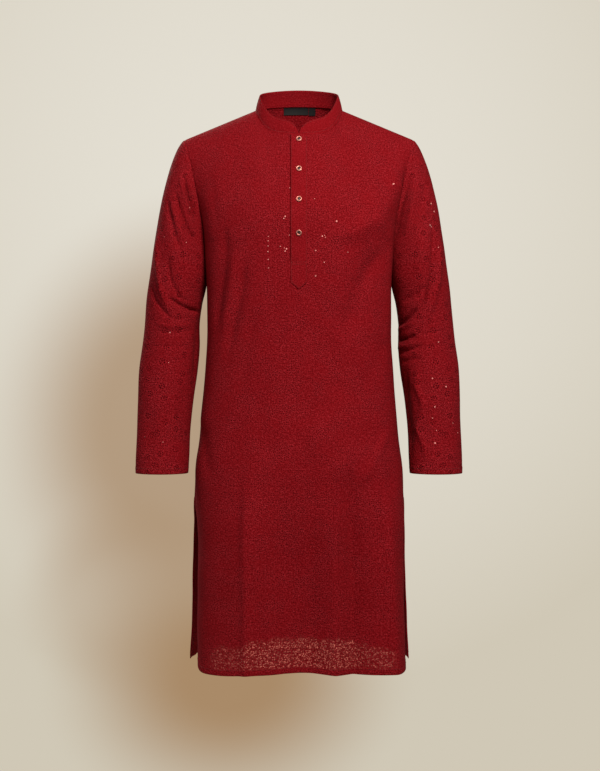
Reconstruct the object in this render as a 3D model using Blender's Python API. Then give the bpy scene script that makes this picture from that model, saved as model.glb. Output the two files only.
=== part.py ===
# A kurta tunic as it is worn, with nobody inside: a front and a back panel, two long
# sleeves, a stand collar, a pointed placket with four buttons, and two labels in the neck.
# Metres, +Z up; the front faces -Y. The origin lies in the middle of the neck, level with
# the points where the shoulder seams meet the collar. _left and _right are the wearer's.

import math

import bpy
import numpy as np

# Cloth and seams
WALL = 0.0016
COLLAR_WALL = 0.0020
HEM_WALL = 0.0026          # where the cloth is turned up
SEAM_HALF_GAP = 0.00016    # each side of a seam stands back by this much
SEAM_BEVEL = 0.0007        # and its inner edge by this much more

# Body lengths, down from the shoulder points at the collar
UNDERARM_Z = -0.250
SLIT_TOP_Z = -0.728
HEM_Z = -1.036
BACK_HEM_RISE = 0.041      # the back hem hangs higher in the middle
HEM_DEPTH = 0.013
HEM_CORNER = 0.007         # how far the rounded hem corners rise
SECTION_POWER = 2.5        # 2 is an ellipse, more is squarer

# Neck and shoulders
NECK_HALF = 0.082
NECK_FRONT_Y = -0.078
NECK_FRONT_Z = -0.057
NECK_BACK_Y = 0.057
NECK_BACK_Z = 0.019
SHOULDER_POINT = np.array([0.214, 0.008, -0.053])
NECK_SHARE = 6 / 14        # of a panel's width at its top, the part under the collar

# Collar, placket, buttons and labels
COLLAR_HEIGHT = 0.031
COLLAR_ROUNDING = 0.042    # how far round its front ends reach
COLLAR_LEAN = 0.25
PLACKET_WIDTH = 0.030
PLACKET_LENGTH = 0.294
PLACKET_POINT = 0.0125
PLACKET_WALL = 0.0015
NECK_SLIT_WIDTH = 0.002
NECK_SLIT_LENGTH = 0.240
BUTTON_RADIUS = 0.0054
BUTTON_HEIGHT = 0.0022
BUTTON_COUNT = 4
FIRST_BUTTON = 0.0118
BUTTON_PITCH = 0.0606
LABEL_WALL = 0.0008
LABEL_TOP = 0.0010         # below the neck seam
LABELS = [                 # name, left edge, right edge, length down
    ("neck_label", -0.0292, 0.0182, 0.0140),
    ("size_tab", 0.0192, 0.0316, 0.0150),
]
ON_TOP = 0.0003            # clearance under what lies on a panel

# How the columns of a panel leave the underarm level, and how they arrive at the top
# edge: (sideways, away from the side plane, up).
CHEST_PULL = (0.0, 0.008, 0.215)
ARMHOLE_PULL = (-0.012, 0.165, 0.100)
FRONT_NECK_PULL = (0.0, -0.065, 0.185)
BACK_NECK_PULL = (0.0, -0.065, 0.150)
SHOULDER_PULL = (0.014, -0.190, 0.020)
ARMHOLE_SHARE = 0.45       # the columns start to turn to the armhole from here out

# How a sleeve leaves the armhole at the underarm and at the shoulder: (outward, up), and
# how far it swells forward and back between them.
SLEEVE_UNDERARM_PULL = (0.018, -0.060)
SLEEVE_HEAD_PULL = (0.080, -0.045)
SLEEVE_SWELL = 0.030
SLEEVE_RADIUS = 0.052      # for the length of folds round it

# Grid sizes
UPPER_ROWS = 11
NECK_COLUMNS = 6
SHOULDER_COLUMNS = 8
COLLAR_ROWS = 4

# Body sections, one row for each height. Half widths, how far the side edges of the
# two panels stand from the side plane, and how far the panels stand out at the middle.
SECTION_COLUMNS = ("z", "front_half", "back_half", "front_edge", "back_edge", "front_out", "back_out")
SECTIONS = [
    (-0.250, 0.1770, 0.1770, 0.000, 0.000, 0.126, 0.118),
    (-0.330, 0.1720, 0.1720, 0.000, 0.000, 0.124, 0.112),
    (-0.400, 0.1710, 0.1710, 0.000, 0.000, 0.119, 0.104),
    (-0.470, 0.1740, 0.1740, 0.000, 0.000, 0.116, 0.100),
    (-0.540, 0.1800, 0.1800, 0.000, 0.000, 0.116, 0.103),
    (-0.610, 0.1860, 0.1860, 0.000, 0.000, 0.120, 0.109),
    (-0.670, 0.1930, 0.1930, 0.000, 0.000, 0.123, 0.114),
    (-0.728, 0.1955, 0.1965, 0.000, 0.000, 0.121, 0.116),
    (-0.800, 0.1935, 0.2000, 0.006, 0.005, 0.117, 0.117),
    (-0.880, 0.1920, 0.2020, 0.012, 0.009, 0.113, 0.117),
    (-0.960, 0.1910, 0.2040, 0.018, 0.013, 0.110, 0.117),
    (-1.036, 0.1900, 0.2080, 0.024, 0.016, 0.109, 0.118),
]

# Sleeve sections below the armhole, one row for each height, for the +X sleeve.
SLEEVE_COLUMNS = ("z", "x", "y", "half_width", "half_depth")
SLEEVE_SECTIONS = [
    (-0.300, 0.2272, 0.005, 0.0508, 0.066),
    (-0.344, 0.2316, 0.006, 0.0521, 0.062),
    (-0.400, 0.2376, 0.006, 0.0514, 0.058),
    (-0.440, 0.2395, 0.004, 0.0538, 0.057),
    (-0.485, 0.2438, 0.001, 0.0545, 0.056),
    (-0.541, 0.2485, -0.006, 0.0515, 0.054),
    (-0.597, 0.2518, -0.013, 0.0496, 0.052),
    (-0.653, 0.2532, -0.022, 0.0492, 0.051),
    (-0.676, 0.2535, -0.026, 0.0480, 0.050),
]

# Waves of the front hem's line, each with its middle across the panel from -1 to 1, its
# width and its rise.
FRONT_HEM_WAVES = [
    (-0.70, 0.40, -0.007),
    (0.06, 0.30, 0.005),
    (0.80, 0.30, -0.004),
]

# Folds of the two panels, soft ridges (+) or troughs (-) along a line: x0, z0, x1, z1,
# width, depth.
FRONT_FOLDS = [
    (-0.100, -0.660, -0.098, -1.100, 0.040, 0.012),
    (-0.150, -0.740, -0.158, -1.100, 0.030, -0.006),
    (-0.050, -0.740, -0.044, -1.100, 0.030, -0.006),
    (0.026, -0.740, 0.016, -1.100, 0.038, -0.012),
    (0.079, -0.640, 0.080, -1.100, 0.022, 0.009),
    (0.110, -0.660, 0.112, -1.100, 0.024, -0.009),
    (0.152, -0.700, 0.158, -1.100, 0.028, 0.008),
    (-0.140, -0.217, -0.159, -0.316, 0.020, -0.004),
    (-0.103, -0.298, -0.133, -0.442, 0.022, -0.004),
]
BACK_FOLDS = [
    (-0.090, -0.560, -0.100, -1.100, 0.030, 0.012),
    (-0.030, -0.620, -0.030, -1.100, 0.032, -0.010),
    (0.045, -0.520, 0.050, -1.100, 0.028, 0.011),
    (0.110, -0.640, 0.118, -1.100, 0.028, -0.008),
    (-0.120, -0.330, -0.060, -0.420, 0.026, -0.005),
    (0.125, -0.320, 0.060, -0.430, 0.026, -0.005),
]
# Folds of a sleeve: angle0, z0, angle1, z1, width, depth, with degrees round it from 0
# outside through 90 in front to 180 inside.
SLEEVE_FOLDS = [
    (60.0, -0.170, 150.0, -0.300, 0.026, -0.006),
    (40.0, -0.240, 140.0, -0.370, 0.022, -0.005),
    (170.0, -0.405, 70.0, -0.440, 0.018, -0.006),
    (180.0, -0.450, 100.0, -0.455, 0.016, -0.004),
    (-60.0, -0.360, -150.0, -0.430, 0.024, -0.006),
    (100.0, -0.520, 60.0, -0.620, 0.022, -0.003),
]

COLOURS = {
    "cloth": ((0.33, 0.010, 0.018, 1.0), 0.78, 0.0),
    "placket": ((0.36, 0.014, 0.022, 1.0), 0.70, 0.0),
    "metal": ((0.62, 0.36, 0.33, 1.0), 0.32, 0.9),
    "label": ((0.012, 0.011, 0.012, 1.0), 0.85, 0.0),
}


def column(table, columns, name):
    return np.array([row[columns.index(name)] for row in table])


def smooth_between(table, columns, name, z):
    # A cubic through the table's rows, read at the heights z.
    knots = column(table, columns, "z")[::-1]
    values = column(table, columns, name)[::-1]
    slopes = np.gradient(values, knots)
    z = np.clip(z, knots[0], knots[-1])
    i = np.clip(np.searchsorted(knots, z) - 1, 0, len(knots) - 2)
    step = knots[i + 1] - knots[i]
    t = (z - knots[i]) / step
    return hermite(values[i], slopes[i] * step, values[i + 1], slopes[i + 1] * step, t)


def hermite(start, start_pull, end, end_pull, t):
    return (
        (2 * t**3 - 3 * t**2 + 1) * start
        + (t**3 - 2 * t**2 + t) * start_pull
        + (3 * t**2 - 2 * t**3) * end
        + (t**3 - t**2) * end_pull
    )


def ease(t):
    t = np.clip(t, 0.0, 1.0)
    return t * t * (3 - 2 * t)


def unit(vectors):
    return vectors / np.maximum(np.linalg.norm(vectors, axis=-1, keepdims=True), 1e-12)


def half_ring(side, z, across):
    # One panel's level section: a superellipse from side edge to side edge, with the
    # points placed by length along it. side is -1 for the front, +1 for the back.
    name = "front" if side < 0 else "back"
    half = smooth_between(SECTIONS, SECTION_COLUMNS, name + "_half", z)
    edge = smooth_between(SECTIONS, SECTION_COLUMNS, name + "_edge", z)
    out = smooth_between(SECTIONS, SECTION_COLUMNS, name + "_out", z)
    turn = np.linspace(math.pi, 0.0, 241)
    x = half * np.sign(np.cos(turn)) * np.abs(np.cos(turn)) ** (2 / SECTION_POWER)
    y = side * (edge + (out - edge) * np.sin(turn) ** (2 / SECTION_POWER))
    along = np.concatenate([[0.0], np.cumsum(np.hypot(np.diff(x), np.diff(y)))])
    wanted = (across + 1) / 2 * along[-1]
    ring = [np.interp(wanted, along, x), np.interp(wanted, along, y), np.full_like(across, z)]
    return np.stack(ring, axis=-1)


def top_edge(side, across):
    # The neckline in the middle and a straight shoulder seam on each side.
    share = np.abs(across)
    sign = np.where(across < 0, -1.0, 1.0)
    swing = np.clip(share / NECK_SHARE, 0, 1) * math.pi / 2
    neck_x = NECK_HALF * np.sin(swing)
    if side < 0:
        neck_y = NECK_FRONT_Y * np.cos(swing)
        neck_z = NECK_FRONT_Z * (1 - np.sin(swing) ** 4.5)
    else:
        neck_y = NECK_BACK_Y * np.cos(swing)
        neck_z = NECK_BACK_Z * np.cos(swing)
    q = np.clip((share - NECK_SHARE) / (1 - NECK_SHARE), 0, 1)
    x = sign * (neck_x + q * (SHOULDER_POINT[0] - NECK_HALF))
    return np.stack([x, neck_y + q * SHOULDER_POINT[1], neck_z + q * SHOULDER_POINT[2]], axis=-1)


def panel_surface(side, across, rise, heights):
    # Rows from the top edge down. rise runs from 1 at the top edge to 0 at the underarm
    # level, heights go on from there. Each column above the underarm is one cubic.
    share = np.abs(across)
    sign = np.where(across < 0, -1.0, 1.0)
    chest = half_ring(side, UNDERARM_Z, across)
    top = top_edge(side, across)
    to_armhole = ease((share - ARMHOLE_SHARE) / (1 - ARMHOLE_SHARE))[:, None]
    to_shoulder = np.clip(share / NECK_SHARE, 0, 1)[:, None] ** 2

    def turned(pull):
        return np.stack([sign, np.full_like(share, side), np.ones_like(share)], axis=-1) * pull

    start_pull = turned(CHEST_PULL) + to_armhole * (turned(ARMHOLE_PULL) - turned(CHEST_PULL))
    neck_pull = turned(FRONT_NECK_PULL if side < 0 else BACK_NECK_PULL)
    end_pull = neck_pull + to_shoulder * (turned(SHOULDER_PULL) - neck_pull)
    upper = [hermite(chest, start_pull, top, end_pull, t) for t in rise]
    lower = [half_ring(side, z, across) for z in heights]
    return hang_hem(side, across, np.array(upper + lower))


def hang_hem(side, across, points):
    # Below the slits' top the rows bend to the hem's own line: rounded corners, a slow
    # wave at the front, and a middle that hangs higher at the back.
    corner = HEM_CORNER * np.clip((np.abs(across) - 0.93) / 0.07, 0, 1) ** 2
    if side < 0:
        line = corner
        for middle, width, rise in FRONT_HEM_WAVES:
            line = line + rise * np.exp(-(((across - middle) / width) ** 2))
    else:
        line = corner + BACK_HEM_RISE * (1 - np.abs(across) ** 3)
    share = ease((SLIT_TOP_Z - points[..., 2]) / (SLIT_TOP_Z - HEM_Z))
    points = points.copy()
    points[..., 2] += share * line
    return points


def segment_folds(along, height, folds, scale=1.0):
    # Each fold is a soft bell across its line, and fades out towards both ends.
    total = np.zeros_like(height)
    for a0, z0, a1, z1, width, depth in folds:
        da = (a1 - a0) * scale
        dz = z1 - z0
        length = np.sqrt(da * da + dz * dz)
        ua = (along - a0) * scale
        uz = height - z0
        t = (ua * da + uz * dz) / length**2
        off = (ua * dz - uz * da) / length
        ends = ease(t / 0.25 + 0.2) * ease((1 - t) / 0.25 + 0.2)
        total += depth * ends * np.exp(-((off / width) ** 2) * 2.0)
    return total


def grid_normals(points, facing, ring=False):
    # From the neighbours on both sides. facing is 1 where rows down and columns across
    # turn out of the garment, -1 where they turn into it.
    down = np.gradient(points, axis=0)
    if ring:
        over = np.roll(points, -1, axis=1) - np.roll(points, 1, axis=1)
    else:
        over = np.gradient(points, axis=1)
    return unit(np.cross(down, over)) * facing


def panel_points(side, across, rise, heights):
    points = panel_surface(side, across, rise, heights)
    normals = grid_normals(points, -side)
    folds = FRONT_FOLDS if side < 0 else BACK_FOLDS
    lift = segment_folds(points[..., 0], points[..., 2], folds)
    return points + normals * lift[..., None]


def stand_back(outer, inner, normals, edge, neighbour):
    # Moves one seam edge of a wall back from the seam, its inner corner a little more.
    away = unit(outer[neighbour] - outer[edge])
    inner[edge] += away * (SEAM_HALF_GAP + SEAM_BEVEL)
    outer[edge] += away * SEAM_HALF_GAP
    outer[edge] -= normals[edge] * SEAM_HALF_GAP


def wall_mesh(outer, inner, keep=None, ring=False):
    # Closes two grids of the same size into one wall. keep says which cells are cloth;
    # every border of the kept cells gets a rim.
    rows, columns = outer.shape[:2]
    cells = columns if ring else columns - 1
    if keep is None:
        keep = np.ones((rows - 1, cells), dtype=bool)
    index = np.arange(rows * columns).reshape(rows, columns)
    layer = rows * columns
    faces = []
    for i in range(rows - 1):
        for j in range(cells):
            if not keep[i, j]:
                continue
            k = (j + 1) % columns
            a, b, c, d = index[i, j], index[i + 1, j], index[i + 1, k], index[i, k]
            faces.append((a, b, c, d))
            faces.append((a + layer, d + layer, c + layer, b + layer))
            left = j - 1 if not ring else (j - 1) % cells
            right = j + 1 if not ring else (j + 1) % cells
            if i == 0 or not keep[i - 1, j]:
                faces.append((d, d + layer, a + layer, a))
            if i == rows - 2 or not keep[i + 1, j]:
                faces.append((b, b + layer, c + layer, c))
            if left < 0 or not keep[i, left]:
                faces.append((a, a + layer, b + layer, b))
            if right >= cells or not keep[i, right]:
                faces.append((c, c + layer, d + layer, d))
    points = np.concatenate([outer.reshape(-1, 3), inner.reshape(-1, 3)])
    used = sorted({v for face in faces for v in face})
    place = {v: n for n, v in enumerate(used)}
    return points[used], [tuple(place[v] for v in face) for face in faces]


def add_object(name, points, faces, colour, flip=False):
    if flip:
        faces = [tuple(reversed(face)) for face in faces]
    mesh = bpy.data.meshes.new(name)
    mesh.from_pydata([tuple(map(float, p)) for p in points], [], faces)
    mesh.update()
    mesh.shade_smooth()
    material = bpy.data.materials.new(name)
    material.use_nodes = True
    shader = material.node_tree.nodes["Principled BSDF"]
    base, rough, metal = COLOURS[colour]
    shader.inputs["Base Color"].default_value = base
    shader.inputs["Roughness"].default_value = rough
    shader.inputs["Metallic"].default_value = metal
    mesh.materials.append(material)
    made = bpy.data.objects.new(name, mesh)
    bpy.context.scene.collection.objects.link(made)
    return made


def panel_across(side):
    neck = np.linspace(0, NECK_SHARE, NECK_COLUMNS + 1)
    shoulder = np.linspace(NECK_SHARE, 1, SHOULDER_COLUMNS + 1)[1:]
    if side < 0:
        # The front's middle column is the neck slit's width.
        neck[0] = NECK_SHARE * 2 / math.pi * math.asin(NECK_SLIT_WIDTH / 2 / NECK_HALF)
        right = np.concatenate([neck, shoulder])
        return np.concatenate([-right[::-1], right])
    right = np.concatenate([neck[1:], shoulder])
    return np.concatenate([-right[::-1], [0.0], right])


def panel_heights():
    body = np.linspace(UNDERARM_Z, SLIT_TOP_Z, 11)[1:]
    skirt = np.linspace(SLIT_TOP_Z, HEM_Z + HEM_DEPTH + 0.0006, 7)[1:]
    return np.concatenate([body, skirt, [HEM_Z + HEM_DEPTH, HEM_Z]])


def add_panel(name, side):
    across = panel_across(side)
    rise = np.linspace(1, 0, UPPER_ROWS + 1)
    heights = panel_heights()
    points = panel_points(side, across, rise, heights)
    normals = grid_normals(points, -side)
    thick = np.full(points.shape[:2], WALL)
    thick[-2:] = HEM_WALL
    outer = points.copy()
    inner = points - normals * thick[..., None]
    seam_rows = UPPER_ROWS + 1 + int(np.sum(heights >= SLIT_TOP_Z))
    stand_back(outer, inner, normals, np.s_[0, :], np.s_[1, :])
    stand_back(outer, inner, normals, np.s_[:seam_rows, 0], np.s_[:seam_rows, 1])
    stand_back(outer, inner, normals, np.s_[:seam_rows, -1], np.s_[:seam_rows, -2])
    keep = np.ones((len(points) - 1, len(across) - 1), dtype=bool)
    if side < 0:
        middle = len(across) // 2 - 1
        keep[lengths_down(points[:, middle])[1:] <= NECK_SLIT_LENGTH, middle] = False
    mesh_points, faces = wall_mesh(outer, inner, keep)
    add_object(name, mesh_points, faces, "cloth", flip=side > 0)
    return points


def sleeve_points(front, back, mirror):
    # The armhole loop comes from the two panels' edges: up the front, down the back.
    # From it each column is one cubic to the first level section, and below that the
    # sleeve is a stack of ellipses.
    edge = -1 if mirror > 0 else 0
    loop = np.concatenate([front[UPPER_ROWS::-1, edge][:-1], back[: UPPER_ROWS + 1, edge][:-1]])
    count = len(loop)
    angle = math.pi - np.arange(count) * 2 * math.pi / count
    toward_top = (1 + np.cos(angle)) / 2
    pulls = zip(SLEEVE_UNDERARM_PULL, SLEEVE_HEAD_PULL)
    outward, up = [low + (high - low) * toward_top for low, high in pulls]
    pull = np.stack([mirror * outward, -SLEEVE_SWELL * np.sin(angle), up], axis=-1)

    def ring(z):
        middle_x, middle_y, half_width, half_depth = [
            smooth_between(SLEEVE_SECTIONS, SLEEVE_COLUMNS, name, z) for name in SLEEVE_COLUMNS[1:]
        ]
        x = mirror * (middle_x + half_width * np.cos(angle))
        return np.stack([x, middle_y - half_depth * np.sin(angle), np.full(count, z)], axis=-1)

    first = SLEEVE_SECTIONS[0][0]
    last = SLEEVE_SECTIONS[-1][0]
    end = ring(first)
    reach = np.linalg.norm(end - loop, axis=-1, keepdims=True)
    end_pull = unit(ring(first - 0.02) - end) * reach
    pull *= np.clip(reach / 0.2, 0.35, 1.2)
    upper = [hermite(loop, pull, end, end_pull, t) for t in np.linspace(0, 1, 8)]
    cuff_top = last + HEM_DEPTH
    heights = np.concatenate([np.linspace(first, cuff_top + 0.0006, 12)[1:], [cuff_top, last]])
    points = np.array(upper + [ring(z) for z in heights])
    normals = grid_normals(points, mirror, ring=True)
    degrees = np.broadcast_to(np.degrees(angle), points.shape[:2])
    lift = np.zeros(points.shape[:2])
    for turn in (-360.0, 0.0, 360.0):
        lift += segment_folds(degrees + turn, points[..., 2], SLEEVE_FOLDS, math.radians(SLEEVE_RADIUS))
    lift *= ease(np.arange(len(points)) / 3)[:, None]
    return points + normals * lift[..., None]


def add_sleeve(name, front, back, mirror):
    points = sleeve_points(front, back, mirror)
    normals = grid_normals(points, mirror, ring=True)
    thick = np.full(points.shape[:2], WALL)
    thick[-2:] = HEM_WALL
    outer = points.copy()
    inner = points - normals * thick[..., None]
    stand_back(outer, inner, normals, np.s_[0, :], np.s_[1, :])
    mesh_points, faces = wall_mesh(outer, inner, ring=True)
    add_object(name, mesh_points, faces, "cloth", flip=mirror < 0)


def add_collar(name, front, back):
    # Its lower edge is the neckline, from the front's middle round the back and home.
    neck_front = front[0]
    neck_back = back[0]
    middle = len(neck_front) // 2
    left = neck_front[middle - NECK_COLUMNS - 1 : middle][::-1]
    right = neck_front[middle : middle + NECK_COLUMNS + 1]
    centre = len(neck_back) // 2
    behind = neck_back[centre - NECK_COLUMNS : centre + NECK_COLUMNS + 1]
    base = np.concatenate([left, behind[1:-1], right[::-1]])
    along = np.concatenate([[0.0], np.cumsum(np.linalg.norm(np.diff(base, axis=0), axis=-1))])
    from_end = np.minimum(along, along[-1] - along)
    bare = np.clip(1 - from_end / COLLAR_ROUNDING, 0, 1)
    height = COLLAR_HEIGHT * np.maximum(np.sqrt(1 - bare**2), 0.10)
    inward = -unit(base * np.array([1, 1, 0]))
    rise = unit(inward * COLLAR_LEAN + np.array([0, 0, 1.0]))
    shares = np.linspace(1, 0, COLLAR_ROWS + 1)
    points = np.array([base + rise * (height * s)[:, None] for s in shares])
    normals = grid_normals(points, -1)
    outer = points.copy()
    inner = points - normals * COLLAR_WALL
    stand_back(outer, inner, normals, np.s_[-1, :], np.s_[-2, :])
    mesh_points, faces = wall_mesh(outer, inner)
    add_object(name, mesh_points, faces, "cloth", flip=True)


def points_on_panel(panel, x, below_top):
    # Points on a panel's own facets, at widths x and at lengths below its top edge.
    found = np.empty(x.shape + (3,))
    axes = range(3)
    for place in np.ndindex(x.shape):
        line = np.array([[np.interp(x[place], row[:, 0], row[:, k]) for k in axes] for row in panel])
        found[place] = [np.interp(below_top[place], lengths_down(line), line[:, k]) for k in axes]
    return found


def lengths_down(line):
    return np.concatenate([[0.0], np.cumsum(np.linalg.norm(np.diff(line, axis=0), axis=-1))])


def add_layer(name, panel, side, x, below_top, near, thick, colour):
    # A layer along a panel: near is how far its nearer face lies outside the panel's
    # outer face, negative for the inside.
    points = points_on_panel(panel, x, below_top)
    normals = grid_normals(points, -side)
    mesh_points, faces = wall_mesh(points + normals * (near + thick), points + normals * near)
    add_object(name, mesh_points, faces, colour, flip=side > 0)


def add_placket(front):
    # Its rows are the front's own, then the two steps of its point.
    full = PLACKET_LENGTH - PLACKET_POINT
    own = lengths_down(front[:, front.shape[1] // 2])
    rows = own[(own > 0.004) & (own < full - 0.004)]
    below = np.concatenate([[0.0012], rows, [full, full + PLACKET_POINT / 2, PLACKET_LENGTH]])
    half = np.full(len(below), PLACKET_WIDTH / 2)
    half[-2:] = PLACKET_WIDTH / 4, 0.0004
    slit = NECK_SLIT_WIDTH / PLACKET_WIDTH
    x = half[:, None] * np.array([-1, -0.5, -slit, slit, 0.5, 1])
    below = np.repeat(below[:, None], x.shape[1], axis=1)
    add_layer("placket", front, -1, x, below, ON_TOP, PLACKET_WALL, "placket")


def add_button(front, number):
    # A turned disc with a raised rim, square to the cloth.
    below = FIRST_BUTTON + number * BUTTON_PITCH
    x, y = np.meshgrid([-0.002, 0.0, 0.002], below + np.array([-0.002, 0.0, 0.002]))
    points = points_on_panel(front, x, y)
    normal = grid_normals(points, 1)[1, 1]
    seat = points[1, 1] + normal * (ON_TOP * 2 + PLACKET_WALL)
    side_way = unit(np.cross(normal, [0, 0, 1.0]))
    up_way = np.cross(side_way, normal)
    profile = [(0.80, 0.0), (1.0, 0.25), (1.0, 0.75), (0.90, 1.0), (0.74, 1.0), (0.64, 0.66)]
    segments = 16
    turn = np.arange(segments) * 2 * math.pi / segments
    rings = [
        seat + normal * (h * BUTTON_HEIGHT)
        + BUTTON_RADIUS * r * (np.cos(turn)[:, None] * side_way + np.sin(turn)[:, None] * up_way)
        for r, h in profile
    ]
    points = np.concatenate(rings)
    faces = [tuple(range(segments))]
    for ring in range(len(profile) - 1):
        for k in range(segments):
            n = (k + 1) % segments
            a, b = ring * segments + k, ring * segments + n
            faces.append((a, a + segments, b + segments, b))
    faces.append(tuple(reversed(range(len(points) - segments, len(points)))))
    add_object(f"button_{number + 1}", points, faces, "metal")


def add_labels(back):
    inside = -(WALL + ON_TOP + LABEL_WALL)
    for name, left, right, long in LABELS:
        x, below = np.meshgrid(np.linspace(left, right, 5), np.linspace(LABEL_TOP, LABEL_TOP + long, 3))
        add_layer(name, back, 1, x, below, inside, LABEL_WALL, "label")


for old in list(bpy.data.objects):
    bpy.data.objects.remove(old, do_unlink=True)
front_points = add_panel("front_panel", -1)
back_points = add_panel("back_panel", 1)
add_sleeve("sleeve_left", front_points, back_points, 1)
add_sleeve("sleeve_right", front_points, back_points, -1)
add_collar("collar_band", front_points, back_points)
add_placket(front_points)
for button in range(BUTTON_COUNT):
    add_button(front_points, button)
add_labels(back_points)
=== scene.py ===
# A crimson kurta tunic in its worn shape, with nobody inside. Thin shells of embroidered
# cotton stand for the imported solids, and stitching, sequins, buttons and labels lie on them.
# Metres, +Z up, the front faces -Y. Left and right are the wearer's.

import math
from functools import partial

import bpy
import numpy as np
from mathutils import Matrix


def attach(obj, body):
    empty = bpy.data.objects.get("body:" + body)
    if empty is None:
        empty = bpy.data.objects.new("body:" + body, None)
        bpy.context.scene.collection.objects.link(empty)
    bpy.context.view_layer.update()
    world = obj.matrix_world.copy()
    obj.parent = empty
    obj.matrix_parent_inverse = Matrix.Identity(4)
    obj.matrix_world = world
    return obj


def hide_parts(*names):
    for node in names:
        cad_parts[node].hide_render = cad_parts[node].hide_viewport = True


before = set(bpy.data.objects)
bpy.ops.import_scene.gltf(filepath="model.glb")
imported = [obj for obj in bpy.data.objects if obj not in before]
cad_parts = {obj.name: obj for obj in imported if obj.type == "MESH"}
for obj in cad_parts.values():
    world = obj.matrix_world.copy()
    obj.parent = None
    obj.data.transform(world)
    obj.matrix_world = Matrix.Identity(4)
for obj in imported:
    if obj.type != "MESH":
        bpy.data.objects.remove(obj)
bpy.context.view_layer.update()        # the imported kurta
print("frame loaded")


# shapes that every piece shares

def hermite(start, startPull, end, endPull, t):
    # the cubic that leaves start along startPull and reaches end along endPull
    return (
        (2 * t**3 - 3 * t**2 + 1) * start
        + (t**3 - 2 * t**2 + t) * startPull
        + (3 * t**2 - 2 * t**3) * end
        + (t**3 - t**2) * endPull
    )


def ease(t):
    # 3t^2 - 2t^3 from 0 to 1, level before and after
    t = np.clip(t, 0.0, 1.0)
    return t * t * (3 - 2 * t)


def unit(vectors):
    return vectors / np.maximum(np.linalg.norm(vectors, axis=-1, keepdims=True), 1e-12)


def readTable(table, name, z):
    # a cubic through the table's rows, read at the heights z; slopes come from both neighbours
    knots = np.array(table["z"])[::-1]
    values = np.array(table[name])[::-1]
    slopes = np.gradient(values, knots)
    z = np.clip(z, knots[0], knots[-1])
    i = np.clip(np.searchsorted(knots, z) - 1, 0, len(knots) - 2)
    step = knots[i + 1] - knots[i]
    t = (z - knots[i]) / step
    return hermite(values[i], slopes[i] * step, values[i + 1], slopes[i + 1] * step, t)


def readRows(wanted, places, values):
    # one interpolation for all rows: each row's places are shifted past the row before it
    shift = 10.0 * np.arange(len(places))[:, None]
    return np.interp(wanted + shift, (places + shift).ravel(), values.ravel())


def lengthsAlong(points, axis):
    # running length from the first point on, along one axis of a grid
    steps = np.linalg.norm(np.diff(points, axis=axis), axis=-1)
    return np.insert(np.cumsum(steps, axis=axis), 0, 0.0, axis=axis)


def gridNormals(points, facing, ring=False):
    # cross product of the way down and the way across, both from the neighbours on each side
    down = np.gradient(points, axis=0)
    if ring:
        over = np.roll(points, -1, axis=1) - np.roll(points, 1, axis=1)
    else:
        over = np.gradient(points, axis=1)
    return unit(np.cross(down, over)) * facing


def bandFaces(first, second, sides):
    # quads between two rings of corners, which are numbered from first and from second
    k = np.arange(sides)
    n = (k + 1) % sides
    return np.stack([first + k, second + k, second + n, first + n], 1).tolist()


def foldLift(x, z, folds):
    # Sum of folds along bent lines, each depth x fade at its two ends x
    # exp(-3(sqrt(o^2 + e^2) - e)), where o is the way off its line in widths. e near 1 is a
    # soft swell, near 0.1 a crisp crest. A fold narrows a little towards its ends.
    total = np.zeros(np.broadcast(x, z).shape)
    for width, depth, crest, line in folds:
        width, depth, line = width / 1000, depth / 1000, np.array(line) / 1000
        steps = np.diff(line, axis=0)
        lengths = np.linalg.norm(steps, axis=1)
        before = np.cumsum(lengths) - lengths
        nearest = np.full(total.shape, np.inf)
        share = np.zeros(total.shape)
        for start, step, length, passed in zip(line, steps, lengths, before):
            t = np.clip(((x - start[0]) * step[0] + (z - start[1]) * step[1]) / length**2, 0, 1)
            away = np.hypot(x - start[0] - t * step[0], z - start[1] - t * step[1])
            share = np.where(away < nearest, (passed + t * length) / lengths.sum(), share)
            nearest = np.minimum(away, nearest)
        fade = ease(share / 0.3) * ease((1 - share) / 0.3)
        off = nearest / (width * (0.6 + 0.4 * fade))
        total += depth * fade * np.exp(-3 * (np.sqrt(off**2 + crest**2) - crest))
    return total


def pleatLift(x, z, pleats):
    # Straight facets between creases. A crease runs from its x at the slit's top to its x at the
    # hem and grows to its height below the level where it starts.
    top, hem = body["slitTop"], body["hem"]
    level = z[:, [z.shape[1] // 2]]
    upper, lower, start, high = np.array(pleats).T / 1000
    places = upper + (lower - upper) * (top - level) / (top - hem)
    lift = readRows(x, places, high * ease((start - level) / body["pleatGrowth"]))
    lift[:, 1:-1] = lift[:, 1:-1] / 2 + (lift[:, :-2] + lift[:, 2:]) / 4
    return lift


# slow swells, so that no stretch is dead flat: length, direction, height in mm
swellWaves = [(0.229, 0.31, 0.42), (0.143, 2.2, 0.34), (0.097, 1.15, 0.26), (0.071, 2.75, 0.16)]


def swells(u, v, start):
    # a sum of sines, each along its own direction
    total = 0.0
    for n, (wave, turn, high) in enumerate(swellWaves):
        way = u * math.cos(turn + start) + v * math.sin(turn + start)
        total = total + 0.001 * high * np.sin(2 * math.pi * way / wave + 1.7 * n + start)
    return total


def linearColour(hexCode):
    # sRGB to linear: a straight line below 0.04045, a 2.4 power above
    values = np.array([int(hexCode[i : i + 2], 16) for i in (0, 2, 4)]) / 255
    linear = np.where(values <= 0.04045, values / 12.92, ((values + 0.055) / 1.055) ** 2.4)
    return (*linear.tolist(), 1.0)


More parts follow.
